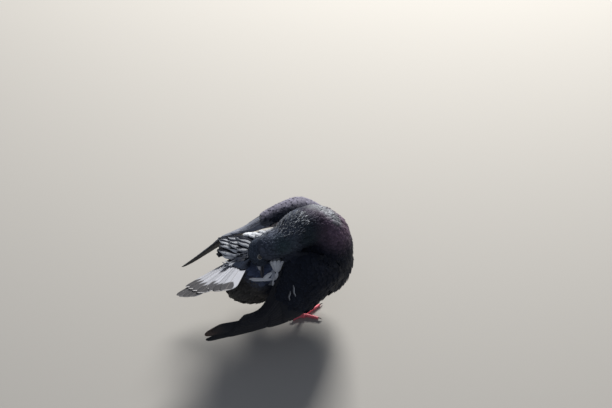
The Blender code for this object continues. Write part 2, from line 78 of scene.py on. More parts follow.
camera_data = bpy.data.cameras.new("camera")
camera_data.lens = CAMERA_LENS
camera_data.sensor_width = CAMERA_SENSOR
camera = bpy.data.objects.new("camera", camera_data)
scene.collection.objects.link(camera)
away = Vector((math.sin(CAMERA_AZIMUTH) * math.cos(CAMERA_HEIGHT),
               -math.cos(CAMERA_AZIMUTH) * math.cos(CAMERA_HEIGHT), math.sin(CAMERA_HEIGHT)))
camera.location = CAMERA_AIM + away * CAMERA_DISTANCE
camera.rotation_mode = "QUATERNION"
camera.rotation_quaternion = away.to_track_quat("Z", "Y")
scene.camera = camera
scene.view_settings.view_transform = "Standard"


def lamp(name, way, distance, size, watts, colour):
    """A square area lamp that looks at the bird."""
    light = bpy.data.lights.new(name, "AREA")
    light.size = size
    light.energy = watts
    light.color = colour
    placed = bpy.data.objects.new(name, light)
    scene.collection.objects.link(placed)
    placed.location = LAMPS_AIM + way.normalized() * distance
    placed.rotation_mode = "QUATERNION"
    placed.rotation_quaternion = way.to_track_quat("Z", "Y")


lamp("key_lamp", KEY_FROM, KEY_DISTANCE, KEY_SIZE, KEY_WATTS, KEY_WARM)
lamp("fill_lamp", FILL_FROM, FILL_DISTANCE, FILL_SIZE, FILL_WATTS, FILL_COOL)
world = bpy.data.worlds.new("studio")
world.use_nodes = True
world.node_tree.nodes["Background"].inputs["Color"].default_value = SKY
world.node_tree.nodes["Background"].inputs["Strength"].default_value = SKY_STRENGTH
scene.world = world


class Shader:
    """A material under construction: nodes are added by type, and sockets are set or linked by name."""

    def __init__(self, name):
        self.material = bpy.data.materials.new(name)
        self.material.use_nodes = True
        self.tree = self.material.node_tree
        self.surface = self.tree.nodes["Principled BSDF"]

    def node(self, kind, **values):
        return add_node(self.tree, kind, values)

    def mark(self, name):
        """A marking that the mesh carries."""
        return self.node("Attribute", attribute_name="mark_" + name).outputs["Fac"]

    def noise(self, scale, detail=2.0):
        """Random variation over the surface."""
        return self.node("TexNoise", inputs={"Scale": scale, "Detail": detail}).outputs[0]

    def smooth(self, value, low, high, at_low=0.0, at_high=1.0):
        """A value that changes smoothly from at_low to at_high as another goes from low to high."""
        limits = {"Value": value, "From Min": low, "From Max": high, "To Min": at_low, "To Max": at_high}
        return self.node("MapRange", interpolation_type="SMOOTHSTEP", inputs=limits).outputs[0]

    def reckon(self, operation, *values):
        return reckoned(self.tree, operation, *values)

    def mix(self, share, below, above):
        return mixed(self.tree, share, below, above)

    def toned(self, colour, tone):
        """A colour made lighter or darker by a factor."""
        return self.node("VectorMath", operation="SCALE", inputs={0: colour, 3: tone}).outputs[0]

    def bump(self, height, strength, distance):
        """A normal that follows a height."""
        values = {"Height": height, "Strength": strength, "Distance": distance}
        return self.node("Bump", inputs=values).outputs[0]

    def set(self, **values):
        """Sets or links the surface's sockets; an underscore stands for the space in a socket's name."""
        for name, value in values.items():
            feed(self.tree, self.surface.inputs[name.replace("_", " ")], value)
        return self


def feed(tree, socket, value):
    """Links an output socket to the input, or sets the input's own value."""
    if isinstance(value, bpy.types.NodeSocket):
        tree.links.new(value, socket)
    else:
        socket.default_value = value


def add_node(tree, kind, values):
    """A node of the kind, with its settings, and its inputs given by number or name under 'inputs'."""
    made = tree.nodes.new("ShaderNode" + kind)
    for name, value in values.items():
        if name != "inputs":
            setattr(made, name, value)
    for key, value in values.get("inputs", {}).items():
        feed(tree, made.inputs[key], value)
    return made


def dress(piece, finish):
    """Gives a piece its finish and its slot, and lets it ride on the bird's one body."""
    piece.data.materials.append(finish.material)
    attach(piece, "root")
    return piece


def mixed(tree, share, below, above):
    """One colour laid over another by a share."""
    return add_node(tree, "MixRGB", {"inputs": {0: share, 1: below, 2: above}}).outputs[0]


def reckoned(tree, operation, *values):
    """One Math node over its values."""
    return add_node(tree, "Math", {"operation": operation, "inputs": dict(enumerate(values))}).outputs[0]


floor_finish = Shader("floor_paint")
floor_tint = floor_finish.mix(floor_finish.noise(3.0, 4.0), (0.42, 0.41, 0.39, 1), (0.45, 0.44, 0.42, 1))
floor_finish.set(Base_Color=floor_tint, Roughness=0.85)
floor_data = bpy.data.meshes.new("floor")
floor_corners = [(FLOOR_HALF * along_x, FLOOR_HALF * along_y, -FLOOR_SINK)
                 for along_x, along_y in ((-1, -1), (1, -1), (1, 1), (-1, 1))]
floor_data.from_pydata(floor_corners, [], [(0, 1, 2, 3)])
floor_data.materials.append(floor_finish.material)
floor = bpy.data.objects.new("floor", floor_data)
scene.collection.objects.link(floor)


# -------------------------------------------------------------------------------------------- skin
# One skin runs over trunk, neck, head, arms, rump and thighs. It lies under the plumage by the depth
# of the coat there, and is joined and smoothed from the frame's bodies of flesh.

COAT_DEPTH = {
    "trunk": 0.0032, "neck_lower": 0.0026, "neck_upper": 0.0022, "head": 0.0011,
    "wing_right_coverts": 0.0011, "wing_left_coverts": 0.0011,
    "tail_coverts_upper": 0.0022, "tail_coverts_lower": 0.0030, "rump_feathers": 0.0045,
    "thigh_right": 0.0012, "thigh_left": 0.0012,
}
FLESH = list(COAT_DEPTH)
WELD = 0.00002
SEAM_GROWTH = 0.0005                    # each body swells this much, so that all of them join
SKIN_GRAIN = 0.0016
BLEND_WIDTH = 0.007                     # over which one part of the body passes into the next
EVENED_BEFORE = 6                       # rounds of smoothing before and after the coat's depth is taken off
EVENED_AFTER = 4
UNWRAP_ANGLE = 1.15                     # radians
ISLAND_MARGIN = 0.004


def new_mesh_object(name, points, faces):
    """An object with a smooth mesh of quads or triangles, from arrays."""
    data = bpy.data.meshes.new(name)
    data.vertices.add(len(points))
    data.vertices.foreach_set("co", np.ascontiguousarray(points, np.float32).ravel())
    data.loops.add(faces.size)
    data.loops.foreach_set("vertex_index", np.ascontiguousarray(faces, np.int32).ravel())
    data.polygons.add(len(faces))
    data.polygons.foreach_set("loop_start", np.arange(0, faces.size, faces.shape[1], dtype=np.int32))
    data.update(calc_edges=True)
    data.validate()
    data.shade_smooth()
    made = bpy.data.objects.new(name, data)
    scene.collection.objects.link(made)
    return made


joined = bmesh.new()
for node in FLESH:
    first = len(joined.verts)
    joined.from_mesh(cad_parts[node].data)
    joined.verts.ensure_lookup_table()
    bmesh.ops.remove_doubles(joined, verts=joined.verts[first:], dist=WELD)
    joined.verts.ensure_lookup_table()
    joined.normal_update()
    for vert in joined.verts[first:]:
        vert.co += vert.normal * SEAM_GROWTH
rough = bpy.data.meshes.new("flesh")
joined.to_mesh(rough)
joined.free()
flesh = bpy.data.objects.new("flesh", rough)
scene.collection.objects.link(flesh)
grain = flesh.modifiers.new("grain", "REMESH")
grain.mode = "VOXEL"
grain.voxel_size = SKIN_GRAIN
flesh.modifiers.new("corners", "TRIANGULATE")
bpy.context.view_layer.update()
solid = flesh.evaluated_get(bpy.context.evaluated_depsgraph_get()).to_mesh()
skin_points = np.empty(len(solid.vertices) * 3, np.float32)
solid.vertices.foreach_get("co", skin_points)
skin_points = skin_points.reshape(-1, 3).astype(float)
skin_faces = np.empty(len(solid.loops), np.int32)
solid.loops.foreach_get("vertex_index", skin_faces)
skin_faces = skin_faces.reshape(-1, 3)
bpy.data.objects.remove(flesh, do_unlink=True)


def face_vertex_normals(points, faces):
    """Each vertex's normal from the triangles round it."""
    corner = points[faces]
    turn = np.cross(corner[:, 1] - corner[:, 0], corner[:, 2] - corner[:, 0])
    normals = np.zeros_like(points)
    for step in range(3):
        np.add.at(normals, faces[:, step], turn)
    return unit(normals)


skin_edges = np.unique(np.sort(np.concatenate(
    [skin_faces[:, [0, 1]], skin_faces[:, [1, 2]], skin_faces[:, [2, 0]]]), axis=1), axis=0)


def evened(values, rounds, share=0.5):
    """Values on the skin, drawn towards their neighbours' mean."""
    count = np.bincount(skin_edges.ravel(), minlength=len(values)).astype(float)[:, None]
    values = values.reshape(len(values), -1)
    for _ in range(rounds):
        total = np.zeros_like(values)
        np.add.at(total, skin_edges[:, 0], values[skin_edges[:, 1]])
        np.add.at(total, skin_edges[:, 1], values[skin_edges[:, 0]])
        values = values + (total / count - values) * share
    return values


flesh_trees = {}
for node in FLESH:
    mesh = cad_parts[node].data
    flesh_trees[node] = BVHTree.FromPolygons([v.co for v in mesh.vertices],
                                             [p.vertices for p in mesh.polygons])
reach = np.array([[flesh_trees[node].find_nearest(point)[3] for node in FLESH]
                  for point in skin_points.tolist()])
belongs = np.exp(-((reach - reach.min(axis=1, keepdims=True)) / BLEND_WIDTH) ** 2)
belongs /= belongs.sum(axis=1, keepdims=True)
part_share = {node: belongs[:, place] for place, node in enumerate(FLESH)}

skin_points = evened(skin_points, EVENED_BEFORE)
coat_depth = belongs @ np.array([COAT_DEPTH[node] for node in FLESH])
skin_points -= face_vertex_normals(skin_points, skin_faces) * coat_depth[:, None]
skin_points = evened(skin_points, EVENED_AFTER)
skin_normals = face_vertex_normals(skin_points, skin_faces)
skin = new_mesh_object("skin", skin_points, skin_faces)
skin_tree = BVHTree.FromPolygons(skin_points.tolist(), skin_faces.tolist())

bpy.ops.object.select_all(action="DESELECT")
skin.select_set(True)
bpy.context.view_layer.objects.active = skin
skin.data.uv_layers.new(name="OFBake")
bpy.ops.object.mode_set(mode="EDIT")
bpy.ops.mesh.select_all(action="SELECT")
bpy.ops.uv.smart_project(angle_limit=UNWRAP_ANGLE, island_margin=ISLAND_MARGIN, scale_to_bounds=False)
bpy.ops.object.mode_set(mode="OBJECT")
skin_map = np.empty(len(skin.data.loops) * 2, np.float32)
skin.data.uv_layers["OFBake"].uv.foreach_get("vector", skin_map)
skin_map = skin_map.reshape(-1, 3, 2)


# ------------------------------------------------------------------------------- lie of the plumage
# Feathers point away from the bill: back over the head, down the neck to the breast, back along the
# body and out along the wings and tail. The lie is drawn part by part and then combed smooth.

HEAD_CENTRE = np.array((-0.0478, -0.0212, 0.1580))
BILL_WAY = unit((-0.0696, -0.4951, -0.8662))
CROWN_WAY = np.array((-0.969, -0.065, 0.237))
CROWN_WAY = unit(CROWN_WAY - BILL_WAY * (CROWN_WAY @ BILL_WAY))
CHEEK_WAY = np.cross(CROWN_WAY, BILL_WAY)       # out of the left cheek
NECK_PATH = np.array([
    (0.050, 0.000, 0.090), (0.055, 0.003, 0.114), (0.051, 0.009, 0.140), (0.035, 0.0115, 0.159),
    (0.011, -0.0002, 0.1685), (-0.0135, -0.0155, 0.1675), (-0.032, -0.0205, 0.164), (-0.043, -0.0215, 0.160)])
TAIL_SWING = math.radians(38.7)
TAIL_LIFT = math.radians(10.0)
TAIL_ROLL = math.radians(36.0)
TAIL_ROOT = np.array((-0.0580, 0.0060, 0.1200))
back_way = np.array((-math.cos(TAIL_SWING), -math.sin(TAIL_SWING), 0))
TAIL_WAY = back_way * math.cos(TAIL_LIFT) + np.array((0, 0, math.sin(TAIL_LIFT)))
level_right = np.array((math.sin(TAIL_SWING), -math.cos(TAIL_SWING), 0))
TAIL_RIGHT = level_right * math.cos(TAIL_ROLL) + np.cross(TAIL_WAY, level_right) * math.sin(TAIL_ROLL)
TAIL_TOP = np.cross(TAIL_WAY, TAIL_RIGHT)
COMBING = 24                            # rounds of smoothing
COMB_PULL = 0.7
PATH_STOPS = 90                         # places along a path that are tried for the nearest
NECK_STRETCH = 0.03                     # share of a path to each side that gives its way
WING_STRETCH = 0.05
# Each wing as three lines from shoulder to tip: over the back, along the crest and at the lower edge.
WINGS = {
    "right": {
        "back": [
            (0.057, -0.029, 0.132), (0.020, -0.030, 0.154), (-0.008, -0.033, 0.150), (-0.028, -0.055, 0.116),
            (-0.054, -0.078, 0.0915), (-0.090, -0.0910, 0.0950),
            (-0.118, -0.0980, 0.0935), (-0.138, -0.1035, 0.0875),
        ],
        "crest": [
            (0.068, -0.040, 0.119), (0.026, -0.063, 0.128), (-0.001, -0.068, 0.120), (-0.024, -0.077, 0.0975),
            (-0.055, -0.090, 0.0845), (-0.091, -0.0995, 0.0840),
            (-0.118, -0.1040, 0.0820), (-0.140, -0.1070, 0.0805),
        ],
        "edge": [
            (0.072, -0.040, 0.098), (0.035, -0.067, 0.088), (0.008, -0.078, 0.0785), (-0.020, -0.087, 0.0750),
            (-0.056, -0.096, 0.0750), (-0.092, -0.103, 0.0742),
            (-0.118, -0.106, 0.0725), (-0.138, -0.1085, 0.0730),
        ],
    },
    "left": {
        "back": [
            (0.056, 0.032, 0.139), (0.020, 0.037, 0.155), (-0.010, 0.040, 0.1465), (-0.032, 0.043, 0.1345),
            (-0.056, 0.046, 0.1215), (-0.099, 0.050, 0.1045),
            (-0.132, 0.040, 0.0865), (-0.161, 0.030, 0.0770),
        ],
        "crest": [
            (0.062, 0.048, 0.136), (0.026, 0.065, 0.150), (-0.006, 0.067, 0.1445), (-0.035, 0.065, 0.1295),
            (-0.064, 0.061, 0.1115), (-0.100, 0.056, 0.0965),
            (-0.132, 0.046, 0.0805), (-0.162, 0.031, 0.0745),
        ],
        "edge": [
            (0.070, 0.042, 0.104), (0.035, 0.069, 0.098), (0.005, 0.079, 0.092), (-0.025, 0.080, 0.087),
            (-0.058, 0.075, 0.0830), (-0.097, 0.062, 0.0770),
            (-0.131, 0.048, 0.0705), (-0.161, 0.0315, 0.0715),
        ],
    },
}


def nearest_on_path(points, path):
    """The share, 0 to 1, along a path of the place nearest to each point."""
    shares = np.linspace(0, 1, PATH_STOPS)
    stops = along(path, shares)
    gap = np.linalg.norm(points[:, None, :] - stops[None, :, :], axis=2)
    return shares[gap.argmin(axis=1)]


def along(rows, share):
    """Places at shares, 0 to 1, of the smooth curve through all the rows."""
    rows = np.asarray(rows, float)
    place = np.clip(np.asarray(share, float), 0, 1) * (len(rows) - 1)
    first = np.minimum(place.astype(int), len(rows) - 2)
    t = (place - first)[..., None]
    a = rows[np.maximum(first - 1, 0)]
    b = rows[first]
    c = rows[first + 1]
    d = rows[np.minimum(first + 2, len(rows) - 1)]
    return b + 0.5 * t * (c - a + t * (2 * a - 5 * b + 4 * c - d + t * (3 * (b - c) + d - a)))


def lie_of(node, points):
    """The way the feathers of one part of the body point, before combing."""
    if node == "head":
        return np.tile(-BILL_WAY, (len(points), 1))
    if node.startswith("neck"):
        share = nearest_on_path(points, NECK_PATH)
        return unit(along(NECK_PATH, share - NECK_STRETCH) - along(NECK_PATH, share + NECK_STRETCH))
    if node == "trunk":
        drop = np.clip(points[:, 0] / 0.07, 0.15, 1.0)
        return unit(np.stack([-np.ones(len(points)), 0 * drop, -0.9 * drop], axis=1))
    if node == "tail_coverts_upper":
        return np.tile(TAIL_WAY, (len(points), 1))
    if node == "rump_feathers":
        return np.tile(unit((-1.0, -0.05, 0)), (len(points), 1))
    if node == "tail_coverts_lower":
        return np.tile(unit((-0.75, -0.50, 0.45)), (len(points), 1))
    if node.startswith("wing"):
        crest = WINGS[node.split("_")[1]]["crest"]
        share = nearest_on_path(points, crest)
        run = along(crest, share + WING_STRETCH) - along(crest, share - WING_STRETCH)
        return unit(unit(run) + (0, 0, -0.15))
    return np.tile(unit((-0.30, 0, -1.0)), (len(points), 1))


lie = sum(part_share[node][:, None] * lie_of(node, skin_points) for node in FLESH)
lie = evened(lie, COMBING, COMB_PULL)
lie = unit(lie - skin_normals * (lie * skin_normals).sum(axis=1, keepdims=True))


# ---------------------------------------------------------------------------- markings of the plumage
# A dark slate bird: green and purple gloss on the neck, white down on the lower back, a black-blue
# tail base and a dark vent. Painted light lies over these: a painted highlight along the neck's crest,
# the nape's top rim and the ruffled neck feathers' tips, painted shade in sky blue on the down below the
# head, a warm brown painted on the vent for light bounced up from the floor, and a far wing painted
# paler and bluer where the lamp lights it. Each marking is a soft-edged patch or streak at its place on
# the body.

def patch(points, centre, radius, soft):
    """1 within the radius of a place, falling to 0 over the soft width."""
    gap = np.linalg.norm(points - np.asarray(centre), axis=1)
    return np.clip((radius + soft - gap) / soft, 0, 1) ** 1.5


def over(values, low, high):
    """0 below low and 1 above high, with a smooth rise between."""
    t = np.clip((values - low) / (high - low), 0, 1)
    return t * t * (3 - 2 * t)


def streak(points, start, end, wide, narrow, soft):
    """1 within a tapering strip from one place to another, falling to 0 over the soft width."""
    start = np.asarray(start)
    run = np.asarray(end) - start
    share = np.clip(((points - start) @ run) / (run @ run), 0, 1)
    gap = np.linalg.norm(points - start - share[:, None] * run, axis=1)
    return np.clip((wide + (narrow - wide) * share + soft - gap) / soft, 0, 1) ** 1.5


neck_here = part_share["neck_lower"] + part_share["neck_upper"]
x, y, z = skin_points.T
tail_reach = (skin_points - TAIL_ROOT) @ TAIL_WAY
tail_right = (skin_points - TAIL_ROOT) @ TAIL_RIGHT
WHITE_STREAKS = (                       # start, end, width at the start and at the end, soft width
    ((-0.0225, -0.0280, 0.1370), (-0.0275, -0.0385, 0.1270), 0.0074, 0.0024, 0.0016),
    ((-0.0272, -0.0380, 0.1270), (-0.0325, -0.0475, 0.1090), 0.0030, 0.0014, 0.0016),
)
# Painted highlight: a pale streak along the top of the nape, where the lamp grazes it.
PAINTED_NAPE_RIM_LIGHT = (
    ((0.002, 0.0105, 0.1900), (-0.0190, -0.0010, 0.1835), 0.0022, 0.0022, 0.0030),
    ((-0.0190, -0.0010, 0.1835), (-0.0434, -0.0150, 0.1800), 0.0022, 0.0018, 0.0030),
)
pale_covert_edge = over(tail_reach, 0.032, 0.038) * over(-tail_right, -0.010, -0.004)
MARKS = {
    "white": np.clip(sum(streak(skin_points, *strip) for strip in WHITE_STREAKS)
                     + 0.45 * part_share["tail_coverts_upper"] * pale_covert_edge
                     + patch(skin_points, (-0.036, 0.023, 0.130), 0.008, 0.008)
                     + patch(skin_points, (-0.018, 0.021, 0.138), 0.010, 0.008), 0, 1),
    "blue": np.clip(part_share["tail_coverts_upper"] * 1.4, 0, 1),
    # Painted shade: a dim sky-blue patch on the down below the head, for its shadow.
    "shade": part_share["trunk"] * patch(skin_points, (-0.050, -0.031, 0.124), 0.014, 0.014),
    "green": np.clip(0.50 * patch(skin_points, (-0.016, -0.034, 0.178), 0.006, 0.020)
                     + 0.20 * neck_here * patch(skin_points, (0.020, -0.020, 0.175), 0.008, 0.030), 0, 1),
    "purple": np.clip(neck_here * (patch(skin_points, (0.070, 0.000, 0.168), 0.014, 0.036)
                                   + 0.2 * patch(skin_points, (0.030, 0.010, 0.198), 0.006, 0.020)), 0, 1),
    "ruffle": neck_here * patch(skin_points, (-0.006, -0.006, 0.192), 0.011, 0.019),
    # Painted highlight: a silvery sheen painted along the neck's lit crest and the nape's top rim.
    "crest": neck_here * np.clip(
        streak(skin_points, (0.036, 0.027, 0.192), (0.068, 0.006, 0.176), 0.006, 0.005, 0.013)
        + 0.62 * sum(streak(skin_points, *strip) for strip in PAINTED_NAPE_RIM_LIGHT), 0, 1),
    "nape": part_share["neck_upper"] * (1 - 0.75 * over(x, -0.002, 0.018)),
    # Painted light: the far wing's upper face painted paler and bluer where the lamp lights it; the near wing
    # keeps the slate.
    "wing": part_share["wing_left_coverts"] * over(y, 0.045, 0.054),
    # The vent's dark feathers, painted warm brown for light bounced up from the floor.
    "vent": np.clip(part_share["tail_coverts_lower"]
                    + 0.9 * over(-x, 0.035, 0.055) * over(-z, -0.122, -0.108), 0, 1),
    "head": part_share["head"],
}
MARK_EVENING = 3                        # rounds of smoothing
for mark in list(MARKS):
    MARKS[mark] = evened(MARKS[mark], MARK_EVENING)[:, 0]


def give_marks(piece, marks):
    """Writes the markings on a mesh, one number for each vertex."""
    for mark, values in marks.items():
        layer = piece.data.attributes.new("mark_" + mark, "FLOAT", "POINT")
        layer.data.foreach_set("value", np.ascontiguousarray(values, np.float32))


SLATE = (0.011, 0.0145, 0.025, 1)
# Painted light: the lit far wing's paler blue.
FAR_WING_PAINTED_LIGHT_BLUE = (0.158, 0.153, 0.203, 1)
HEAD_BLUE = (0.052, 0.068, 0.100, 1)
GLOSS_GREEN = (0.014, 0.048, 0.040, 1)
GLOSS_PURPLE = (0.130, 0.090, 0.135, 1)
DOWN_WHITE = (0.56, 0.60, 0.68, 1)
TAIL_BASE_BLUE = (0.005, 0.008, 0.017, 1)
# Painted light: warm light bounced up from the floor onto the dark vent.
VENT_PAINTED_BOUNCE_BROWN = (0.085, 0.082, 0.079, 1)
# Painted shade: white down in shadow, lit only by a blue sky.
PAINTED_SHADE_SKY_BLUE = (0.110, 0.145, 0.250, 1)
NAPE_BLUE = (0.072, 0.085, 0.122, 1)
# Painted highlight: light caught on the raised nape feathers' tips and edges.
NAPE_PAINTED_HIGHLIGHT = (0.26, 0.285, 0.33, 1)
# Painted highlight: the pale sheen on the lit crest and nape rim.
PAINTED_CREST_SHEEN = (0.158, 0.168, 0.190, 1)
PAINTED_HIGHLIGHT_FRINGE = (0.095, 0.105, 0.115, 1)

plumage = bpy.data.node_groups.new("plumage markings", "ShaderNodeTree")
plumage.interface.new_socket("Tone", in_out="INPUT", socket_type="NodeSocketFloat")
plumage.interface.new_socket("Fringe", in_out="INPUT", socket_type="NodeSocketFloat")
plumage.interface.new_socket("Colour", in_out="OUTPUT", socket_type="NodeSocketColor")
plumage.interface.new_socket("Gloss", in_out="OUTPUT", socket_type="NodeSocketFloat")
group_in = plumage.nodes.new("NodeGroupInput")
group_out = plumage.nodes.new("NodeGroupOutput")


def mark_value(mark):
    """A marking of the skin or of a feather, inside the group."""
    return add_node(plumage, "Attribute", {"attribute_name": "mark_" + mark}).outputs["Fac"]


# The crest, shade, vent and far-wing colours below carry painted light, as said where each is set.
colour = SLATE
for mark, marking in (("wing", FAR_WING_PAINTED_LIGHT_BLUE), ("nape", NAPE_BLUE), ("head", HEAD_BLUE), ("green", GLOSS_GREEN),
                      ("purple", GLOSS_PURPLE), ("crest", PAINTED_CREST_SHEEN), ("vent", VENT_PAINTED_BOUNCE_BROWN),
                      ("blue", TAIL_BASE_BLUE), ("shade", PAINTED_SHADE_SKY_BLUE), ("white", DOWN_WHITE)):
    colour = mixed(plumage, mark_value(mark), colour, marking)
fringe_share = reckoned(plumage, "MULTIPLY", group_in.outputs["Fringe"], 0.5)
# Painted highlight: the tips of ruffled neck feathers painted pale where light would catch them.
ruffled = reckoned(plumage, "MULTIPLY", group_in.outputs["Fringe"], mark_value("ruffle"))
colour = mixed(plumage, ruffled, colour, PAINTED_HIGHLIGHT_FRINGE)
brighter = reckoned(plumage, "MULTIPLY_ADD", fringe_share, 0.9, group_in.outputs["Tone"])
scaled = add_node(plumage, "VectorMath", {"operation": "SCALE", "inputs": {0: colour, 3: brighter}})
plumage.links.new(scaled.outputs[0], group_out.inputs["Colour"])
gloss = reckoned(plumage, "MAXIMUM", mark_value("green"), mark_value("purple"))
plumage.links.new(gloss, group_out.inputs["Gloss"])

skin_finish = Shader("skin_and_down")
skin_marks = skin_finish.node("Group", node_tree=plumage)
skin_marks.inputs["Tone"].default_value = 0.85
skin_bump = skin_finish.bump(skin_finish.noise(900.0, 3.0), 0.4, 0.0006)
skin_finish.set(Base_Color=skin_marks.outputs["Colour"], Roughness=0.85, Normal=skin_bump)
give_marks(skin, MARKS)
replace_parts(dress(skin, skin_finish), *FLESH)


# ----------------------------------------------------------------------------------- contour feathers
# Each small feather is a cupped vane with a rounded tip, rooted in the skin and lying back over the
# next. They are tiny on the face, longer down the neck, and broad and soft on the body.

EYE_FORWARD = 0.0046
EYE_CROWN = 0.0030
EYE_OUT = 0.0122                        # to the front of the eye
EYE_PLACE = {side: HEAD_CENTRE + BILL_WAY * EYE_FORWARD + CROWN_WAY * EYE_CROWN + CHEEK_WAY * sign * EYE_OUT
             for side, sign in (("left", 1), ("right", -1))}
EYE_CLEAR = 0.0042                      # no feather comes nearer to the eye, or to the root of the bill
BILL_ROOT = HEAD_CENTRE + BILL_WAY * 0.0255 + CROWN_WAY * -0.0020
BILL_CLEAR = 0.0050
VANE_STOPS = np.array([0.0, 0.25, 0.5, 0.7, 0.85, 0.95, 1.0])
VANE_WIDTH = np.array([0.35, 0.72, 0.95, 1.0, 0.86, 0.58, 0.22])
VANE_ACROSS = np.linspace(-1, 1, 7)
VANE_SEAT = 0.0002                      # height of a feather's root over the skin
VANE_BOW = 0.10                         # how far its edges fall back from its tip, as a share of its length
SKIN_NEAR = 0.03                        # how far away the skin under its middle and tip is looked for
FOLLOWS = 0.35                          # it bends with the skin while the two ways out agree this much
ROOT_LEAN = 0.6                         # share of the way out at its root in the ways out further on
JAGGED_FROM = 0.6                       # share of its length where its edge grows ragged
TRIES = 7                               # scattered for each place that is kept
TUFT_PATCH = 0.0015                     # half of each feather's square on the skin's map
SHOWN_AT = 0.65                         # share of a feather's length at the middle of what shows of it
skin_corners = skin_points[skin_faces]
face_area = np.linalg.norm(np.cross(skin_corners[:, 1] - skin_corners[:, 0],
                                    skin_corners[:, 2] - skin_corners[:, 0]), axis=1) / 2


def spread(weight, spacing, seed):
    """Places on the skin no nearer to each other than the spacing: their faces and corner shares."""
    chance = np.random.default_rng(seed)
    area = face_area * (weight > 0.5)
    tries = int(area.sum() / (spacing ** 2) * TRIES)
    face = chance.choice(len(area), tries, p=area / area.sum())
    u, v = chance.random((2, tries))
    fold = u + v > 1
    u[fold] = 1 - u[fold]
    v[fold] = 1 - v[fold]
    share = np.stack([1 - u - v, u, v], axis=1)
    place = (skin_points[skin_faces[face]] * share[..., None]).sum(axis=1)
    cell = np.floor(place / spacing).astype(int)
    kept = {}
    chosen = []
    nearby = [(i, j, k) for i in (-1, 0, 1) for j in (-1, 0, 1) for k in (-1, 0, 1)]
    limit = spacing ** 2
    for index, (at, (i, j, k)) in enumerate(zip(place.tolist(), cell.tolist())):
        free = True
        for a, b, c in nearby:
            for other in kept.get((i + a, j + b, k + c), ()):
                if (at[0] - other[0]) ** 2 + (at[1] - other[1]) ** 2 + (at[2] - other[2]) ** 2 < limit:
                    free = False
                    break
            if not free:
                break
        if free:
            kept.setdefault((i, j, k), []).append(at)
            chosen.append(index)
    return face[chosen], share[chosen]


def rooted(face, share, length):
    """All that a feather takes from the skin: its seat at its root, its markings where its end shows."""
    corner = skin_faces[face]

    def here(values):
        return (values[corner] * share.reshape(len(share), 3, *[1] * (values.ndim - 1))).sum(axis=1)

    place = here(skin_points)
    way = unit(here(lie))
    shown = np.array([skin_tree.find_nearest(spot)[2] for spot in (place + way * length * SHOWN_AT).tolist()])
    return {"place": place, "normal": unit(here(skin_normals)), "lie": way,
            "map": (skin_map[face] * share[..., None]).sum(axis=1),
            "marks": {mark: values[skin_faces[shown]].mean(axis=1) for mark, values in MARKS.items()}}


def grid_quads(rows, columns, count=1):
    """The quads of as many grids of points as there are feathers."""
    cell = np.arange(rows * columns).reshape(rows, columns)
    quads = np.stack([cell[:-1, :-1], cell[:-1, 1:], cell[1:, 1:], cell[1:, :-1]], axis=-1).reshape(-1, 4)
    return (quads[None] + (np.arange(count) * rows * columns)[:, None, None]).reshape(-1, 4)


def give_maps(piece, faces, tuft_map, vane_map):
    """The map that finishes are baked to, and each feather's own place from edge to edge and root to tip."""
    for name, spots in (("OFBake", tuft_map), ("vane", vane_map)):
        layer = piece.data.uv_layers.new(name=name, do_init=False)
        layer.uv.foreach_set("vector", spots[faces.ravel()].astype(np.float32).ravel())
    piece.data.uv_layers.active = piece.data.uv_layers["OFBake"]


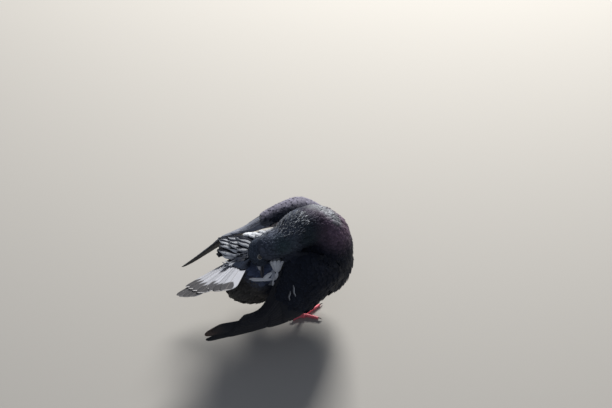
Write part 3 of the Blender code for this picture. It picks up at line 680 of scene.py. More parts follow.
def vanes(name, root, length, half, rise, seed, stray=0.10, ragged=0.05, cup=0.16, finish=None):
    """One mesh of many small feathers. rise is the height of the tips over the skin."""
    chance = np.random.default_rng(seed)
    count = len(root["place"])
    turn = chance.normal(0, stray, count)[:, None]
    normal = root["normal"]
    way = unit(root["lie"] * np.cos(turn) + np.cross(normal, root["lie"]) * np.sin(turn))
    length = length * chance.uniform(0.88, 1.12, count)
    half = half * chance.uniform(0.92, 1.08, count)
    rise = rise * chance.uniform(0.80, 1.20, count)
    stops = [root["place"]]
    fronts = [normal]
    for share in (0.5, 1.0):
        ahead = root["place"] + way * (length * share)[:, None]
        found = [skin_tree.find_nearest(point, SKIN_NEAR) for point in ahead.tolist()]
        stops.append(np.array([f[0] if f[0] else p for f, p in zip(found, ahead.tolist())]))
        fronts.append(np.array([f[1] if f[1] else n for f, n in zip(found, normal.tolist())]))
    same = (fronts[2] * normal).sum(axis=1) > FOLLOWS
    for k, share in ((1, 0.5), (2, 1.0)):
        flat = root["place"] + way * (length * share)[:, None]
        stops[k] = np.where(same[:, None], stops[k], flat)
        fronts[k] = unit(np.where(same[:, None], fronts[k], normal) + normal * ROOT_LEAN)
    t = VANE_STOPS[None, :, None]
    weights = ((1 - t) * (1 - 2 * t), 4 * t * (1 - t), t * (2 * t - 1))
    line = sum(w * s[:, None, :] for w, s in zip(weights, stops))
    front = unit(sum(w * s[:, None, :] for w, s in zip(weights, fronts)))
    height = VANE_SEAT + rise[:, None] * VANE_STOPS[None, :] ** 0.8
    line = line + front * height[..., None]
    run = unit(np.gradient(line, VANE_STOPS, axis=1))
    side = np.cross(front, run)
    across = VANE_ACROSS[None, None, :]
    width = half[:, None, None] * VANE_WIDTH[None, :, None]
    jag = chance.normal(0, ragged, (count, len(VANE_STOPS), len(VANE_ACROSS)))
    jag *= (VANE_STOPS > JAGGED_FROM)[None, :, None] * length[:, None, None]
    points = (line[:, :, None, :] + side[:, :, None, :] * (width * across)[..., None]
              - front[:, :, None, :] * (cup * width * across ** 2)[..., None]
              + run[:, :, None, :] * (jag - VANE_BOW * length[:, None, None] * across ** 2 * t)[..., None])
    rows = len(VANE_STOPS)
    columns = len(VANE_ACROSS)
    faces = grid_quads(rows, columns, count)
    piece = new_mesh_object(name, points.reshape(-1, 3), faces)
    per = rows * columns
    give_marks(piece, {mark: np.repeat(values, per) for mark, values in root["marks"].items()})
    give_marks(piece, {"tone": np.repeat(chance.uniform(0.78, 1.22, count), per),
                       "tip": np.tile(np.repeat(VANE_STOPS, columns), count),
                       "across": np.tile(VANE_ACROSS, count * rows)})
    corner_spot = np.stack([np.tile(VANE_ACROSS, rows), np.repeat(VANE_STOPS, columns) * 2 - 1], axis=1)
    spots = root["map"][:, None, :] + corner_spot[None] * TUFT_PATCH
    own = np.stack([np.tile(VANE_ACROSS, rows), np.repeat(VANE_STOPS, columns)], axis=1)
    give_maps(piece, faces, spots.reshape(-1, 2), np.tile(own, (count, 1)))
    dress(piece, finish or feather_finish)


barbs = bpy.data.node_groups.new("barbs and shaft", "ShaderNodeTree")
barbs.interface.new_socket("Fineness", in_out="INPUT", socket_type="NodeSocketFloat").default_value = 60.0
barbs.interface.new_socket("Height", in_out="OUTPUT", socket_type="NodeSocketFloat")
barbs.interface.new_socket("Shaft", in_out="OUTPUT", socket_type="NodeSocketFloat")
barbs_in = barbs.nodes.new("NodeGroupInput")
barbs_out = barbs.nodes.new("NodeGroupOutput")
vane_place = add_node(barbs, "UVMap", {"uv_map": "vane"})
vane_parts = add_node(barbs, "SeparateXYZ", {"inputs": {0: vane_place.outputs[0]}})
off_shaft = reckoned(barbs, "ABSOLUTE", vane_parts.outputs[0])
barb_line = reckoned(barbs, "SUBTRACT", vane_parts.outputs[1], reckoned(barbs, "MULTIPLY", off_shaft, 0.35))
barb_wave = reckoned(barbs, "SINE", reckoned(barbs, "MULTIPLY", barb_line, barbs_in.outputs["Fineness"]))
shaft_line = reckoned(barbs, "SUBTRACT", 1.0, reckoned(barbs, "MULTIPLY", off_shaft, 12.0))
shaft_line = reckoned(barbs, "MAXIMUM", shaft_line, 0.0)
barbs.links.new(reckoned(barbs, "MULTIPLY_ADD", barb_wave, 0.5, reckoned(barbs, "MULTIPLY", shaft_line, 2.0)),
                barbs_out.inputs["Height"])
barbs.links.new(shaft_line, barbs_out.inputs["Shaft"])

feather_finish = Shader("contour_feathers")
feather_fringe = feather_finish.smooth(feather_finish.mark("tip"), 0.72, 1.0)
feather_marks = feather_finish.node("Group", node_tree=plumage, inputs={
    "Tone": feather_finish.mark("tone"), "Fringe": feather_fringe})
feather_barbs = feather_finish.node("Group", node_tree=barbs, inputs={"Fineness": 90.0})
feather_bump = feather_finish.bump(feather_barbs.outputs["Height"], 0.35, 0.0002)
feather_metal = feather_finish.reckon("MULTIPLY", feather_marks.outputs["Gloss"], 0.55)
feather_rough = feather_finish.node("MapRange", inputs={
    "Value": feather_marks.outputs["Gloss"], "To Min": 0.62, "To Max": 0.42}).outputs[0]
feather_finish.set(Base_Color=feather_marks.outputs["Colour"], Roughness=feather_rough,
                   Metallic=feather_metal, Normal=feather_bump, Sheen_Weight=0.05, Sheen_Roughness=0.25,
                   Specular_IOR_Level=0.12)

head_here = part_share["head"] > 0.55
thigh_here = part_share["thigh_right"] + part_share["thigh_left"] > 0.5
rump_here = part_share["tail_coverts_upper"] > 0.5
vent_here = part_share["tail_coverts_lower"] > 0.5
wing_right_here = part_share["wing_right_coverts"] > 0.5
wing_left_here = part_share["wing_left_coverts"] > 0.5
neck_upper_here = (part_share["neck_upper"] > 0.5) & ~head_here
neck_lower_here = part_share["neck_lower"] > 0.5
trunk_here = ~(head_here | thigh_here | rump_here | vent_here | wing_right_here | wing_left_here
               | neck_upper_here | neck_lower_here)


def on_faces(chosen):
    """1 on the skin's triangles whose corners are mostly chosen."""
    return (chosen[skin_faces].sum(axis=1) > 1).astype(float)


def only(root, keep):
    """The chosen ones among the rooted feathers."""
    return {key: ({mark: values[keep] for mark, values in value.items()} if key == "marks" else value[keep])
            for key, value in root.items()}


ARM_END = 0.375                         # share of the wing where its small feathers stop
TRACTS = (                              # where, spacing, length, half width, rise over the skin
    ("coat_head", head_here, 0.0016, 0.0050, 0.0015, 0.0012),
    ("coat_nape", neck_upper_here, 0.0025, 0.0092, 0.0024, 0.0024),
    ("coat_neck", neck_lower_here, 0.0031, 0.0115, 0.0033, 0.0026),
    ("coat_trunk", trunk_here, 0.0042, 0.0160, 0.0050, 0.0031),
    ("coat_wing_right", wing_right_here, 0.0042, 0.0120, 0.0046, 0.0014),
    ("coat_wing_left", wing_left_here, 0.0042, 0.0120, 0.0046, 0.0014),
    ("coat_rump", rump_here, 0.0042, 0.0165, 0.0052, 0.0018),
    ("coat_vent", vent_here, 0.0040, 0.0140, 0.0044, 0.0034),
    ("coat_thighs", thigh_here, 0.0030, 0.0090, 0.0030, 0.0018),
)
RUFFLED_RISE = 0.6                      # how much more the ruffled feathers stand up
BESIDE_SHORT = 0.55                     # how much shorter and flatter they are beside the root of the tail
BESIDE_FLAT = 0.5
for seed, (name, here, spacing, length, half, rise) in enumerate(TRACTS):
    root = rooted(*spread(on_faces(here), spacing, 100 + seed), length)
    if name == "coat_head":
        gap = np.minimum.reduce([np.linalg.norm(root["place"] + root["lie"] * length * s - eye, axis=1)
                                 for eye in EYE_PLACE.values() for s in (0, 0.5, 1)])
        keep = (gap > EYE_CLEAR) & (np.linalg.norm(root["place"] - BILL_ROOT, axis=1) > BILL_CLEAR)
        root = only(root, keep)
    if name.startswith("coat_wing"):
        keep = nearest_on_path(root["place"], WINGS[name[10:]]["crest"]) < ARM_END
        root = only(root, keep)
    ruffle = root["marks"]["ruffle"]
    beside_tail = over((TAIL_ROOT - root["place"]) @ TAIL_RIGHT, 0.020, 0.030) * over(
        (root["place"] - TAIL_ROOT) @ TAIL_WAY, 0.0, 0.010)
    vanes(name, root, length * (1 - BESIDE_SHORT * beside_tail), half,
          rise * (1 + RUFFLED_RISE * ruffle - BESIDE_FLAT * beside_tail), 200 + seed,
          stray=0.04 if name == "coat_rump" else 0.10)

stroke_finish = Shader("ruffled_nape_feathers")
stroke_barbs = stroke_finish.node("Group", node_tree=barbs, inputs={"Fineness": 90.0})
# Painted highlight: the raised nape feathers' tips and edges painted pale where light catches them.
stroke_painted_highlight = stroke_finish.reckon("MULTIPLY", stroke_finish.smooth(stroke_finish.mark("tip"), 0.30, 0.75),
                                   stroke_finish.smooth(stroke_finish.mark("across"), -0.4, 0.5))
stroke_tint = stroke_finish.mix(stroke_painted_highlight, SLATE, NAPE_PAINTED_HIGHLIGHT)
stroke_tint = stroke_finish.toned(stroke_tint, stroke_finish.mark("tone"))
stroke_bump = stroke_finish.bump(stroke_barbs.outputs["Height"], 0.35, 0.0002)
stroke_finish.set(Base_Color=stroke_tint, Roughness=0.6, Normal=stroke_bump, Specular_IOR_Level=0.35)
RAISED_LONG = 0.0105                    # the narrow feathers that stand up on the nape
RAISED_HALF = 0.0014
RAISED_RISE = 0.0034
RAISED_SPACING = 0.0027
raised_here = on_faces((MARKS["ruffle"] > 0.25) & (y < 0.005))
raised = rooted(*spread(raised_here, RAISED_SPACING, 131), RAISED_LONG)
vanes("ruffled_nape", raised, RAISED_LONG, RAISED_HALF, RAISED_RISE, 231, stray=0.24, ragged=0.08, cup=0.3,
      finish=stroke_finish)


# ------------------------------------------------------------------------------------ flight feathers
# Ten primaries, ten secondaries and three tertials lie folded on each wing, the inner ones over the
# outer ones, with two rows of coverts over their roots. Each is a stiff vane with a raised shaft.

QUILL_STOPS = np.concatenate([np.linspace(0, 0.84, 14), [0.89, 0.93, 0.96, 0.98, 0.993, 1.0]])
SHAFT_RISE = 0.0004
SHAFT_NARROW = 0.05                     # of the shaft's ridge, as a share of the half width
QUILL_THICK = 0.0004
WING_MIDDLE = 0.085                     # height over the floor that the wings' outer faces look away from


def wing_place(wing, share, across):
    """Places on a wing's outer face: across runs from the edge over the back to the lower edge."""
    back, crest, edge = (along(wing[line], share) for line in ("back", "crest", "edge"))
    t = np.asarray(across, float)[..., None]
    bend = crest * 2 - (back + edge) * 0.5
    return back * (1 - t) ** 2 + bend * 2 * t * (1 - t) + edge * t ** 2


def wing_front(wing, share, across):
    """The outward way at places on a wing."""
    run = wing_place(wing, share + 0.01, across) - wing_place(wing, share - 0.01, across)
    span = wing_place(wing, share, across + 0.02) - wing_place(wing, share, across - 0.02)
    front = unit(np.cross(run, span))
    out = wing_place(wing, share, across) * (0, 1, 1) - (0, 0, WING_MIDDLE)
    return front * np.sign((front * out).sum(axis=-1, keepdims=True))


def vane_outline(stops, base=0.35, full=0.25, taper=0.14, blunt=0.5):
    """Half width along a flight feather, as a share of its widest."""
    rising = base + (1 - base) * over(stops, 0, full)
    end = np.clip((stops - (1 - taper)) / taper, 0, 1)
    return rising * np.clip(1 - end ** 2, 0, 1) ** blunt


def quill_columns(shaft):
    """Where the lengthwise lines of a vane lie, with three close together at the shaft."""
    before = shaft - 0.06
    if shaft > -0.3:
        before = min(before, -0.40)
    return np.array([-1, -0.72, before, shaft, shaft + 0.06, 0.25 + 0.4 * shaft, 0.55, 0.80, 1.0])


def wing_quill(side, root, tip, half, level, shaft, tilt=0.0004, base_level=None, **outline):
    """One feather on a wing, from root to tip in (share, across), level over the wing's face."""
    wing = WINGS[side]
    columns = quill_columns(shaft)
    t = QUILL_STOPS[:, None]
    share = root[0] + (tip[0] - root[0]) * t + 0 * columns[None, :]
    middle = root[1] + (tip[1] - root[1]) * t ** 1.3
    span = np.linalg.norm(wing_place(wing, share[:, :1], 0 * share[:, :1])
                          - wing_place(wing, share[:, :1], 0 * share[:, :1] + 1), axis=-1)
    width = half * vane_outline(QUILL_STOPS, **outline)[:, None]
    across = middle + columns[None, :] * width / np.maximum(span * 1.1, 0.004)
    spot = wing_place(wing, share, np.clip(across, -0.12, 1.12))
    front = wing_front(wing, share, np.clip(across, 0.02, 0.98))
    begin = level if base_level is None else base_level
    height = begin + (level - begin) * over(t, 0.0, 0.5) + tilt * columns[None, :]
    height = height + SHAFT_RISE * np.exp(-((columns[None, :] - shaft) / SHAFT_NARROW) ** 2) * (1 - 0.7 * t)
    return spot + front * height[..., None], columns


def web_piece(name, feathers, finish, marks=None, thick=QUILL_THICK):
    """One mesh of large feathers, each a grid of points with its columns and a patch of the map."""
    rows = len(QUILL_STOPS)
    count = len(feathers)
    width = len(feathers[0][1])
    faces = grid_quads(rows, width, count)
    points = np.concatenate([grid.reshape(-1, 3) for grid, columns in feathers])
    across = np.concatenate([np.tile(columns, rows) for grid, columns in feathers])
    piece = new_mesh_object(name, points, faces)
    run = np.tile(np.repeat(QUILL_STOPS, width), count)
    middle = width // 2
    long = np.concatenate([np.full(rows * width, np.linalg.norm(grid[0, middle] - grid[-1, middle]))
                           for grid, columns in feathers])
    values = {"tip": run, "across": across, "from_tip": (1 - run) * long,
              "shaft": np.concatenate([np.full(rows * width, columns[3]) for grid, columns in feathers])}
    chance = np.random.default_rng(count)
    values["tone"] = np.repeat(chance.uniform(0.86, 1.14, count), rows * width)
    for mark, per_feather in (marks or {}).items():
        values[mark] = np.repeat(np.asarray(per_feather, float), rows * width)
    give_marks(piece, values)
    side = math.ceil(math.sqrt(count))
    place = np.arange(count)
    patch_low = np.stack([place % side, place // side], axis=1) / side
    patches = np.repeat(patch_low, rows * width, axis=0)
    patches = patches + np.stack([(across + 1) / 2, run], axis=1) * 0.92 / side
    give_maps(piece, faces, patches, np.stack([across - values["shaft"], run], axis=1))
    body = piece.modifiers.new("body", "SOLIDIFY")
    body.thickness = thick
    body.offset = 0
    return dress(piece, finish)


FLIGHT_DARK = (0.010, 0.012, 0.018, 1)
FLIGHT_MOTTLE = (0.020, 0.023, 0.033, 1)
FLIGHT_EDGE = (0.060, 0.062, 0.072, 1)
# Painted light: the lit far wing's flight feathers painted paler and bluer.
FAR_FLIGHT_PAINTED_LIGHT_BLUE = (0.170, 0.190, 0.250, 1)
SHAFT_HORN = (0.010, 0.009, 0.010, 1)
TIP_BROWN = (0.120, 0.085, 0.070, 1)

flight_finish = Shader("flight_feathers")
flight_barbs = flight_finish.node("Group", node_tree=barbs, inputs={"Fineness": 420.0})
near_tip = flight_finish.smooth(flight_finish.mark("from_tip"), 0.008, 0.024, 1.0, 0.0)
flight_brown = flight_finish.reckon("MULTIPLY", flight_finish.mark("brown"), near_tip)
web_edge = flight_finish.smooth(flight_finish.reckon("ABSOLUTE", flight_finish.mark("across")), 0.80, 1.0)
web_edge = flight_finish.reckon("MULTIPLY", web_edge, flight_finish.mark("pale"))
shaft_share = flight_finish.reckon("MULTIPLY", flight_barbs.outputs["Shaft"], 0.8)
flight_tint = flight_finish.mix(flight_finish.noise(160.0, 4.0), FLIGHT_DARK, FLIGHT_MOTTLE)
# The blue mark paints the lit far wing's feathers paler and bluer.
for share, marking in ((flight_finish.mark("blue"), FAR_FLIGHT_PAINTED_LIGHT_BLUE), (flight_brown, TIP_BROWN),
                       (web_edge, FLIGHT_EDGE), (shaft_share, SHAFT_HORN)):
    flight_tint = flight_finish.mix(share, flight_tint, marking)
flight_tint = flight_finish.toned(flight_tint, flight_finish.mark("tone"))
flight_bump = flight_finish.bump(flight_barbs.outputs["Height"], 0.5, 0.00025)
flight_finish.set(Base_Color=flight_tint, Roughness=0.48, Normal=flight_bump, Sheen_Weight=0.04,
                  Specular_IOR_Level=0.25)

# Where each primary ends on the wing, the leading one first: the inner five end above the outer five.
PRIMARY_ENDS = {
    "right": [(0.985 - 0.014 * n, 0.86 - 0.045 * n) for n in range(5)]
             + [(0.995 - 0.024 * n, 0.16 - 0.01 * n) for n in range(5)],
    "left": [(0.995 - 0.020 * abs(n - 1), 0.72 - 0.058 * n) for n in range(10)],
}
PRIMARIES = 10
SECONDARIES = 10
TERTIALS = 3
PRIMARY_PALE = np.linspace(1.0, 0.3, PRIMARIES)             # how pale the edges of the webs are
SECONDARY_PALE = 0.3
COVERT_PALE = 0.25
RIGHT_BROWN = (0, 0, 0, 0, 0, 1, 0.8, 0.6, 0.4, 0.2)        # how brown the tip of each right primary is
# The two rows of coverts: how far along the wing they reach, half width, height and number.
COVERT_ROWS = ((0.545, 0.0068, 0.0016, 11), (0.455, 0.0058, 0.0024, 12))
COVERT_LONG = 0.22
for side, blue in (("right", 0.0), ("left", 1.0)):          # the far wing's feathers are painted paler and bluer where the lamp lights them
    primaries = []
    secondaries = []
    coverts = []
    for number, end in enumerate(PRIMARY_ENDS[side]):       # from the leading feather inwards
        f = number / (PRIMARIES - 1)
        primaries.append(wing_quill(
            side, (0.42, 0.92 - 0.40 * f), end, 0.0053 + 0.0006 * f,
            -0.0012 + 0.00013 * number, -0.45, base_level=-0.0016, taper=0.18))
    for number in range(SECONDARIES):
        f = number / (SECONDARIES - 1)
        secondaries.append(wing_quill(
            side, (0.33, 0.90 - 0.76 * f), (0.80 - 0.012 * number, 0.72 - 0.60 * f), 0.0080,
            0.0004 + 0.00016 * number, -0.30, base_level=-0.0012, taper=0.12))
    for number in range(TERTIALS):
        secondaries.append(wing_quill(
            side, (0.26, 0.30 - 0.10 * number), (0.70 - 0.045 * number, 0.17 - 0.05 * number), 0.0095,
            0.0022 + 0.0003 * number, -0.15, base_level=-0.0010, taper=0.16))
    for reach_to, half, level, many in COVERT_ROWS:
        for number in range(many):
            f = number / (many - 1)
            end = (reach_to - 0.02 * math.sin(math.pi * f), 0.96 - 0.90 * f)
            coverts.append(wing_quill(
                side, (reach_to - COVERT_LONG, 0.97 - 0.92 * f), end, half, level + 0.00010 * number, -0.20,
                base_level=-0.0012, taper=0.22))
    brown = RIGHT_BROWN if side == "right" else [0] * PRIMARIES
    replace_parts(web_piece("primaries_" + side, primaries, flight_finish,
                          {"pale": PRIMARY_PALE, "blue": np.linspace(0, 0.25 * blue, PRIMARIES),
                           "brown": brown}), f"wing_{side}_primaries")
    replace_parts(web_piece("secondaries_" + side, secondaries, flight_finish,
                          {"pale": [SECONDARY_PALE] * len(secondaries),
                           "blue": np.linspace(0.7 * blue, blue, len(secondaries))}),
                f"wing_{side}_secondaries")
    web_piece("wing_coverts_" + side, coverts, flight_finish,
              {"pale": [COVERT_PALE] * len(coverts),
               "blue": np.tile(np.linspace(0.6 * blue, 0.2 * blue, 12), 2)[1:]})


# ----------------------------------------------------------------------------------------- tail fan
# Twelve tail feathers in three overlapping stacks, the right one on top. Each is pale grey with a dark
# band across its end and a narrow pale rim at the tip. Four dark coverts lie over their roots.

FAN_DROOP = 0.055                       # sink of the fan's edges, as a share of the distance out
FAN_RIGHT = math.radians(38.2)
FAN_LOW = -0.0022                       # height of the lowest feather over the tail's middle plane
FAN_SINK_MOST = 0.010
FAN_START = 0.006                       # how far behind the root of the tail its feathers begin
FAN_NARROW = 0.0040                     # their half width there
FAN_CUP = 0.02
FAN_SHAFT = -0.1                        # where the shaft lies, -1 and 1 being the edges
STACK_STEP = 0.0020
STACK_FEATHERS = 4
FEATHER_STEP = 0.0005
TAIL_BAND_LONG = 0.026
TAIL_PALE = (0.41, 0.425, 0.475, 1)
TAIL_GREY = (0.34, 0.355, 0.405, 1)
TAIL_BAND = (0.056, 0.057, 0.064, 1)
TAIL_RIM = (0.44, 0.44, 0.46, 1)
TAIL_SHAFT = (0.16, 0.15, 0.15, 1)
TAIL_COVERT_COUNT = 4
TAIL_COVERT_HALF = 0.0075
TAIL_COVERT_DARK = (0.004, 0.006, 0.012, 1)
TAIL_COVERT_BLUE = (0.013, 0.020, 0.038, 1)
# For each stack, its first feather's root to the right, tip along the tail and tip to the right, then the
# same of its last feather, how far the middle feathers' tips stand out, half width, and share of pale rim.
TAIL_STACKS = (
    ((-0.012, 0.1285, -0.0250), (0.000, 0.1320, 0.0120), 0.0035, 0.0140, 0.15),
    ((-0.021, 0.1070, -0.0265), (-0.002, 0.1235, 0.0240), 0.0010, 0.0152, 1.0),
    ((0.002, 0.1100, 0.0320), (0.004, 0.1100, 0.0650), 0.0055, 0.0146, 0.8),
)


def tail_quill(root_right, tip_along, tip_right, half, level):
    """One straight feather of the fan, from its place at the root to its tip."""
    columns = quill_columns(FAN_SHAFT)
    run = TAIL_WAY * tip_along + TAIL_RIGHT * (tip_right - root_right)
    way = unit(run)
    side = np.cross(TAIL_TOP, way)
    distance = FAN_START + (np.linalg.norm(run) - FAN_START) * QUILL_STOPS
    width = FAN_NARROW + (half - FAN_NARROW) * QUILL_STOPS ** 0.8
    width = width * vane_outline(QUILL_STOPS, 0.8, 0.2, 0.13, 0.42)
    grid = (TAIL_ROOT + TAIL_RIGHT * root_right + way * distance[:, None, None]
            + side * (columns[None, :] * width[:, None])[..., None])
    along_tail = (grid - TAIL_ROOT) @ TAIL_WAY
    to_right = (grid - TAIL_ROOT) @ TAIL_RIGHT
    sink = FAN_DROOP * along_tail * (np.arctan2(to_right, along_tail) / FAN_RIGHT) ** 2
    height = level - np.clip(sink, 0, FAN_SINK_MOST) - FAN_CUP * width[:, None] * columns[None, :] ** 2
    ridge = SHAFT_RISE * np.exp(-((columns[None, :] - FAN_SHAFT) / SHAFT_NARROW) ** 2)
    height = height + ridge * (1 - 0.6 * QUILL_STOPS[:, None])
    return grid + TAIL_TOP * height[..., None], columns


tail_finish = Shader("tail_feathers")
tail_from_tip = tail_finish.mark("from_tip")
tail_across = tail_finish.mark("across")
tail_barbs = tail_finish.node("Group", node_tree=barbs, inputs={"Fineness": 520.0})
tail_wave = tail_finish.noise(90.0, 3.0)
bow = tail_finish.reckon("MULTIPLY", tail_finish.reckon("MULTIPLY", tail_across, tail_across), 0.004)
band_place = tail_finish.reckon("ADD", tail_from_tip, bow)
band_place = tail_finish.reckon("MULTIPLY_ADD", tail_wave, 0.004, band_place)
outer_web = tail_finish.smooth(tail_across, 0.15, 1.0, 0.0, 0.022)
band_place = tail_finish.reckon("ADD", band_place, outer_web)
band = tail_finish.smooth(band_place, TAIL_BAND_LONG, TAIL_BAND_LONG + 0.0045, 1.0, 0.0)
rim = tail_finish.smooth(tail_from_tip, 0.0012, 0.0036, 1.0, 0.0)
rim = tail_finish.reckon("MULTIPLY", rim, tail_finish.mark("rim"))
side_rim = tail_finish.smooth(tail_finish.reckon("ABSOLUTE", tail_across), 0.88, 0.97)
side_rim = tail_finish.reckon("MULTIPLY", side_rim, tail_finish.mark("outermost"))
tail_shaft = tail_finish.reckon("MULTIPLY", tail_barbs.outputs["Shaft"], 0.6)
tail_tint = tail_finish.mix(tail_wave, TAIL_PALE, TAIL_GREY)
for share, marking in ((band, TAIL_BAND), (side_rim, TAIL_RIM), (rim, TAIL_RIM), (tail_shaft, TAIL_SHAFT)):
    tail_tint = tail_finish.mix(share, tail_tint, marking)
tail_tint = tail_finish.toned(tail_tint, tail_finish.mark("tone"))
tail_bump = tail_finish.bump(tail_barbs.outputs["Height"], 0.5, 0.0003)
tail_finish.set(Base_Color=tail_tint, Roughness=0.80, Normal=tail_bump, Specular_IOR_Level=0.12)
tail_feathers = []
tail_rims = []
outermost = []
for stack, (first, last, stand_out, half, rim_share) in enumerate(TAIL_STACKS):
    for step in range(STACK_FEATHERS):
        f = step / (STACK_FEATHERS - 1)
        root_right, tip_along, tip_right = np.array(first) + (np.array(last) - first) * f
        tip_along += stand_out * (1 - (2 * f - 1) ** 2)
        level = FAN_LOW + STACK_STEP * stack + FEATHER_STEP * step
        tail_feathers.append(tail_quill(root_right, tip_along, tip_right, half, level))
        tail_rims.append(rim_share)
        outermost.append(0.8 * rim_share if step == 0 else 0.08)
tail_fan = web_piece("tail_fan", tail_feathers, tail_finish,
                     {"rim": tail_rims, "outermost": outermost})
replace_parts(tail_fan, "tail_left", "tail_middle", "tail_right")

covert_finish = Shader("tail_covert_feathers")
covert_barbs = covert_finish.node("Group", node_tree=barbs, inputs={"Fineness": 260.0})
covert_tint = covert_finish.mix(covert_finish.noise(160.0, 4.0), TAIL_COVERT_DARK, TAIL_COVERT_BLUE)
covert_tint = covert_finish.toned(covert_tint, covert_finish.mark("tone"))
covert_bump = covert_finish.bump(covert_barbs.outputs["Height"], 0.5, 0.0003)
covert_finish.set(Base_Color=covert_tint, Roughness=0.75, Normal=covert_bump, Specular_IOR_Level=0.05)
tail_coverts = [tail_quill(0.004 + 0.001 * number, 0.047 + 0.002 * number, 0.016 + 0.0085 * number,
                           TAIL_COVERT_HALF, 0.0044 + 0.0002 * number) for number in range(TAIL_COVERT_COUNT)]
web_piece("tail_covert_row", tail_coverts, covert_finish)


# ------------------------------------------------------------------------------- ruffled lower back
# Long feathers stand up in ridges over the lower back where the bill has parted them: white down in
# front, then dark ones with white edges over the root of the tail. A few lie out of place to the side.

RUFFLE_COLUMNS = quill_columns(0.0)
RUFFLE_WHITE = (0.82, 0.86, 0.93, 1)
RUFFLE_DARK = (0.011, 0.013, 0.022, 1)
RUFFLE_THICK = 0.0003
STRIPE_ROWS = 5
STRIPE_STEP = 0.0062                    # from one row of striped feathers to the next
STRIPE_STARTS = (-0.074, -0.062, -0.050)
DOWN_COUNT = 22
FAR_STRIPES = 9
SWAY_WAVES = 1.3                        # along one feather


def loose_feather(root, way, length, half, over_way, lift, sway=0.0, phase=0.0, arch=0.5, blunt=0.6):
    """A long soft feather whose tip rises by lift and whose vane sways from side to side."""
    way = unit(way)
    side = unit(np.cross(over_way, way))
    top = np.cross(way, side)
    t = QUILL_STOPS[:, None]
    width = half * vane_outline(QUILL_STOPS, 0.45, 0.35, 0.30, blunt)[:, None]
    ahead = length * (t + 0 * RUFFLE_COLUMNS)
    sideways = sway * np.sin(2 * math.pi * (SWAY_WAVES * t + phase)) * t + width * RUFFLE_COLUMNS
    height = lift * np.sin(1.9 * t) - arch * width * RUFFLE_COLUMNS ** 2 + 0.0001 * RUFFLE_COLUMNS
    grid = np.asarray(root) + way * ahead[..., None] + side * sideways[..., None] + top * height[..., None]
    return grid, RUFFLE_COLUMNS


ruffled_feathers = []
ruffled_white = []
chance = np.random.default_rng(7)
for row in range(STRIPE_ROWS):
    f = row / (STRIPE_ROWS - 1)
    for place, start in enumerate(STRIPE_STARTS):
        root = (start + chance.normal(0, 0.0015), -0.0040 + STRIPE_STEP * row - 0.0010 * place,
                0.1195 + 0.0085 * math.sin(0.25 + 1.9 * f) + 0.0010 * place)
        way = (-1.0, 0.34 + chance.normal(0, 0.05), 0.02 + chance.normal(0, 0.02))
        ruffled_feathers.append(loose_feather(
            root, way, 0.030 + chance.normal(0, 0.0015), 0.0058, (0, 0.10 + 0.20 * f, 1.0),
            0.0050 + 0.0012 * place, 0.0013, chance.random()))
        ruffled_white.append(0.12 + 0.25 * chance.random())
for number in range(DOWN_COUNT):         # white down between the far wing and the nape
    f = number / (DOWN_COUNT - 1)
    root = (-0.006 - 0.036 * f + chance.normal(0, 0.002), 0.0265 - 0.0010 * f + chance.normal(0, 0.0020),
            0.1360 - 0.0070 * f + chance.normal(0, 0.0006))
    way = (-1.0, 0.10 + chance.normal(0, 0.12), 0.05)
    ruffled_feathers.append(loose_feather(
        root, way, 0.017, 0.0048, (0, 0.25, 1.0), 0.0040, 0.0010, chance.random()))
    ruffled_white.append(0.76)
for number in range(FAR_STRIPES):        # striped feathers against the far wing
    f = number / (FAR_STRIPES - 1)
    root = (-0.040 - 0.034 * f, 0.0300 - 0.0030 * f, 0.1300 - 0.0110 * f)
    way = (-1.0, 0.12 + chance.normal(0, 0.08), 0.02)
    ruffled_feathers.append(loose_feather(
        root, way, 0.019, 0.0052, (0, 0.10, 1.0), 0.0035, 0.0010, chance.random()))
    ruffled_white.append(0.9 - 0.6 * f)

# Single feathers by root, end and half width: white ones that the bill draws out, the down that it has
# parted below the neck, and the two on the near wing.
PARTING = (-0.0257, -0.0395, 0.1260)
BELOW_PARTING = (-0.0254, -0.0390, 0.1275)
SINGLE_WHITE = (
    ((-0.0345, -0.0465, 0.1215), (-0.0660, -0.0372, 0.1150), 0.0017),
    ((-0.0345, -0.0470, 0.1200), (-0.0625, -0.0387, 0.1135), 0.0016),
    ((-0.0338, -0.0412, 0.1290), (-0.0452, -0.0432, 0.1195), 0.0029),
    (PARTING, (-0.0330, -0.0275, 0.1398), 0.0028),
    (PARTING, (-0.0274, -0.0280, 0.1408), 0.0028),
    (PARTING, (-0.0209, -0.0285, 0.1411), 0.0028),
    (PARTING, (-0.0148, -0.0305, 0.1400), 0.0028),
    (BELOW_PARTING, (-0.0330, -0.0480, 0.1085), 0.0022),
    (BELOW_PARTING, (-0.0294, -0.0470, 0.1115), 0.0022),
    (BELOW_PARTING, (-0.0268, -0.0446, 0.1165), 0.0022),
)
SINGLE_PALE = (
    ((-0.0062, -0.0690, 0.1315), (-0.0052, -0.0790, 0.1175), 0.0011),
    ((-0.0110, -0.0730, 0.1235), (-0.0140, -0.0795, 0.1110), 0.0011),
)
for group, over_way, lift, sway, white in (
        (SINGLE_WHITE, (-0.2, -0.6, 0.75), 0.0022, 0.0, 1.0),
        (SINGLE_PALE, (-0.2, -0.8, 0.55), 0.0012, 0.0010, 0.50)):
    for root, end, half in group:
        way = np.array(end) - root
        ruffled_feathers.append(loose_feather(
            root, way, np.linalg.norm(way), half, over_way, lift, sway, arch=0.2, blunt=0.4))
        ruffled_white.append(white)

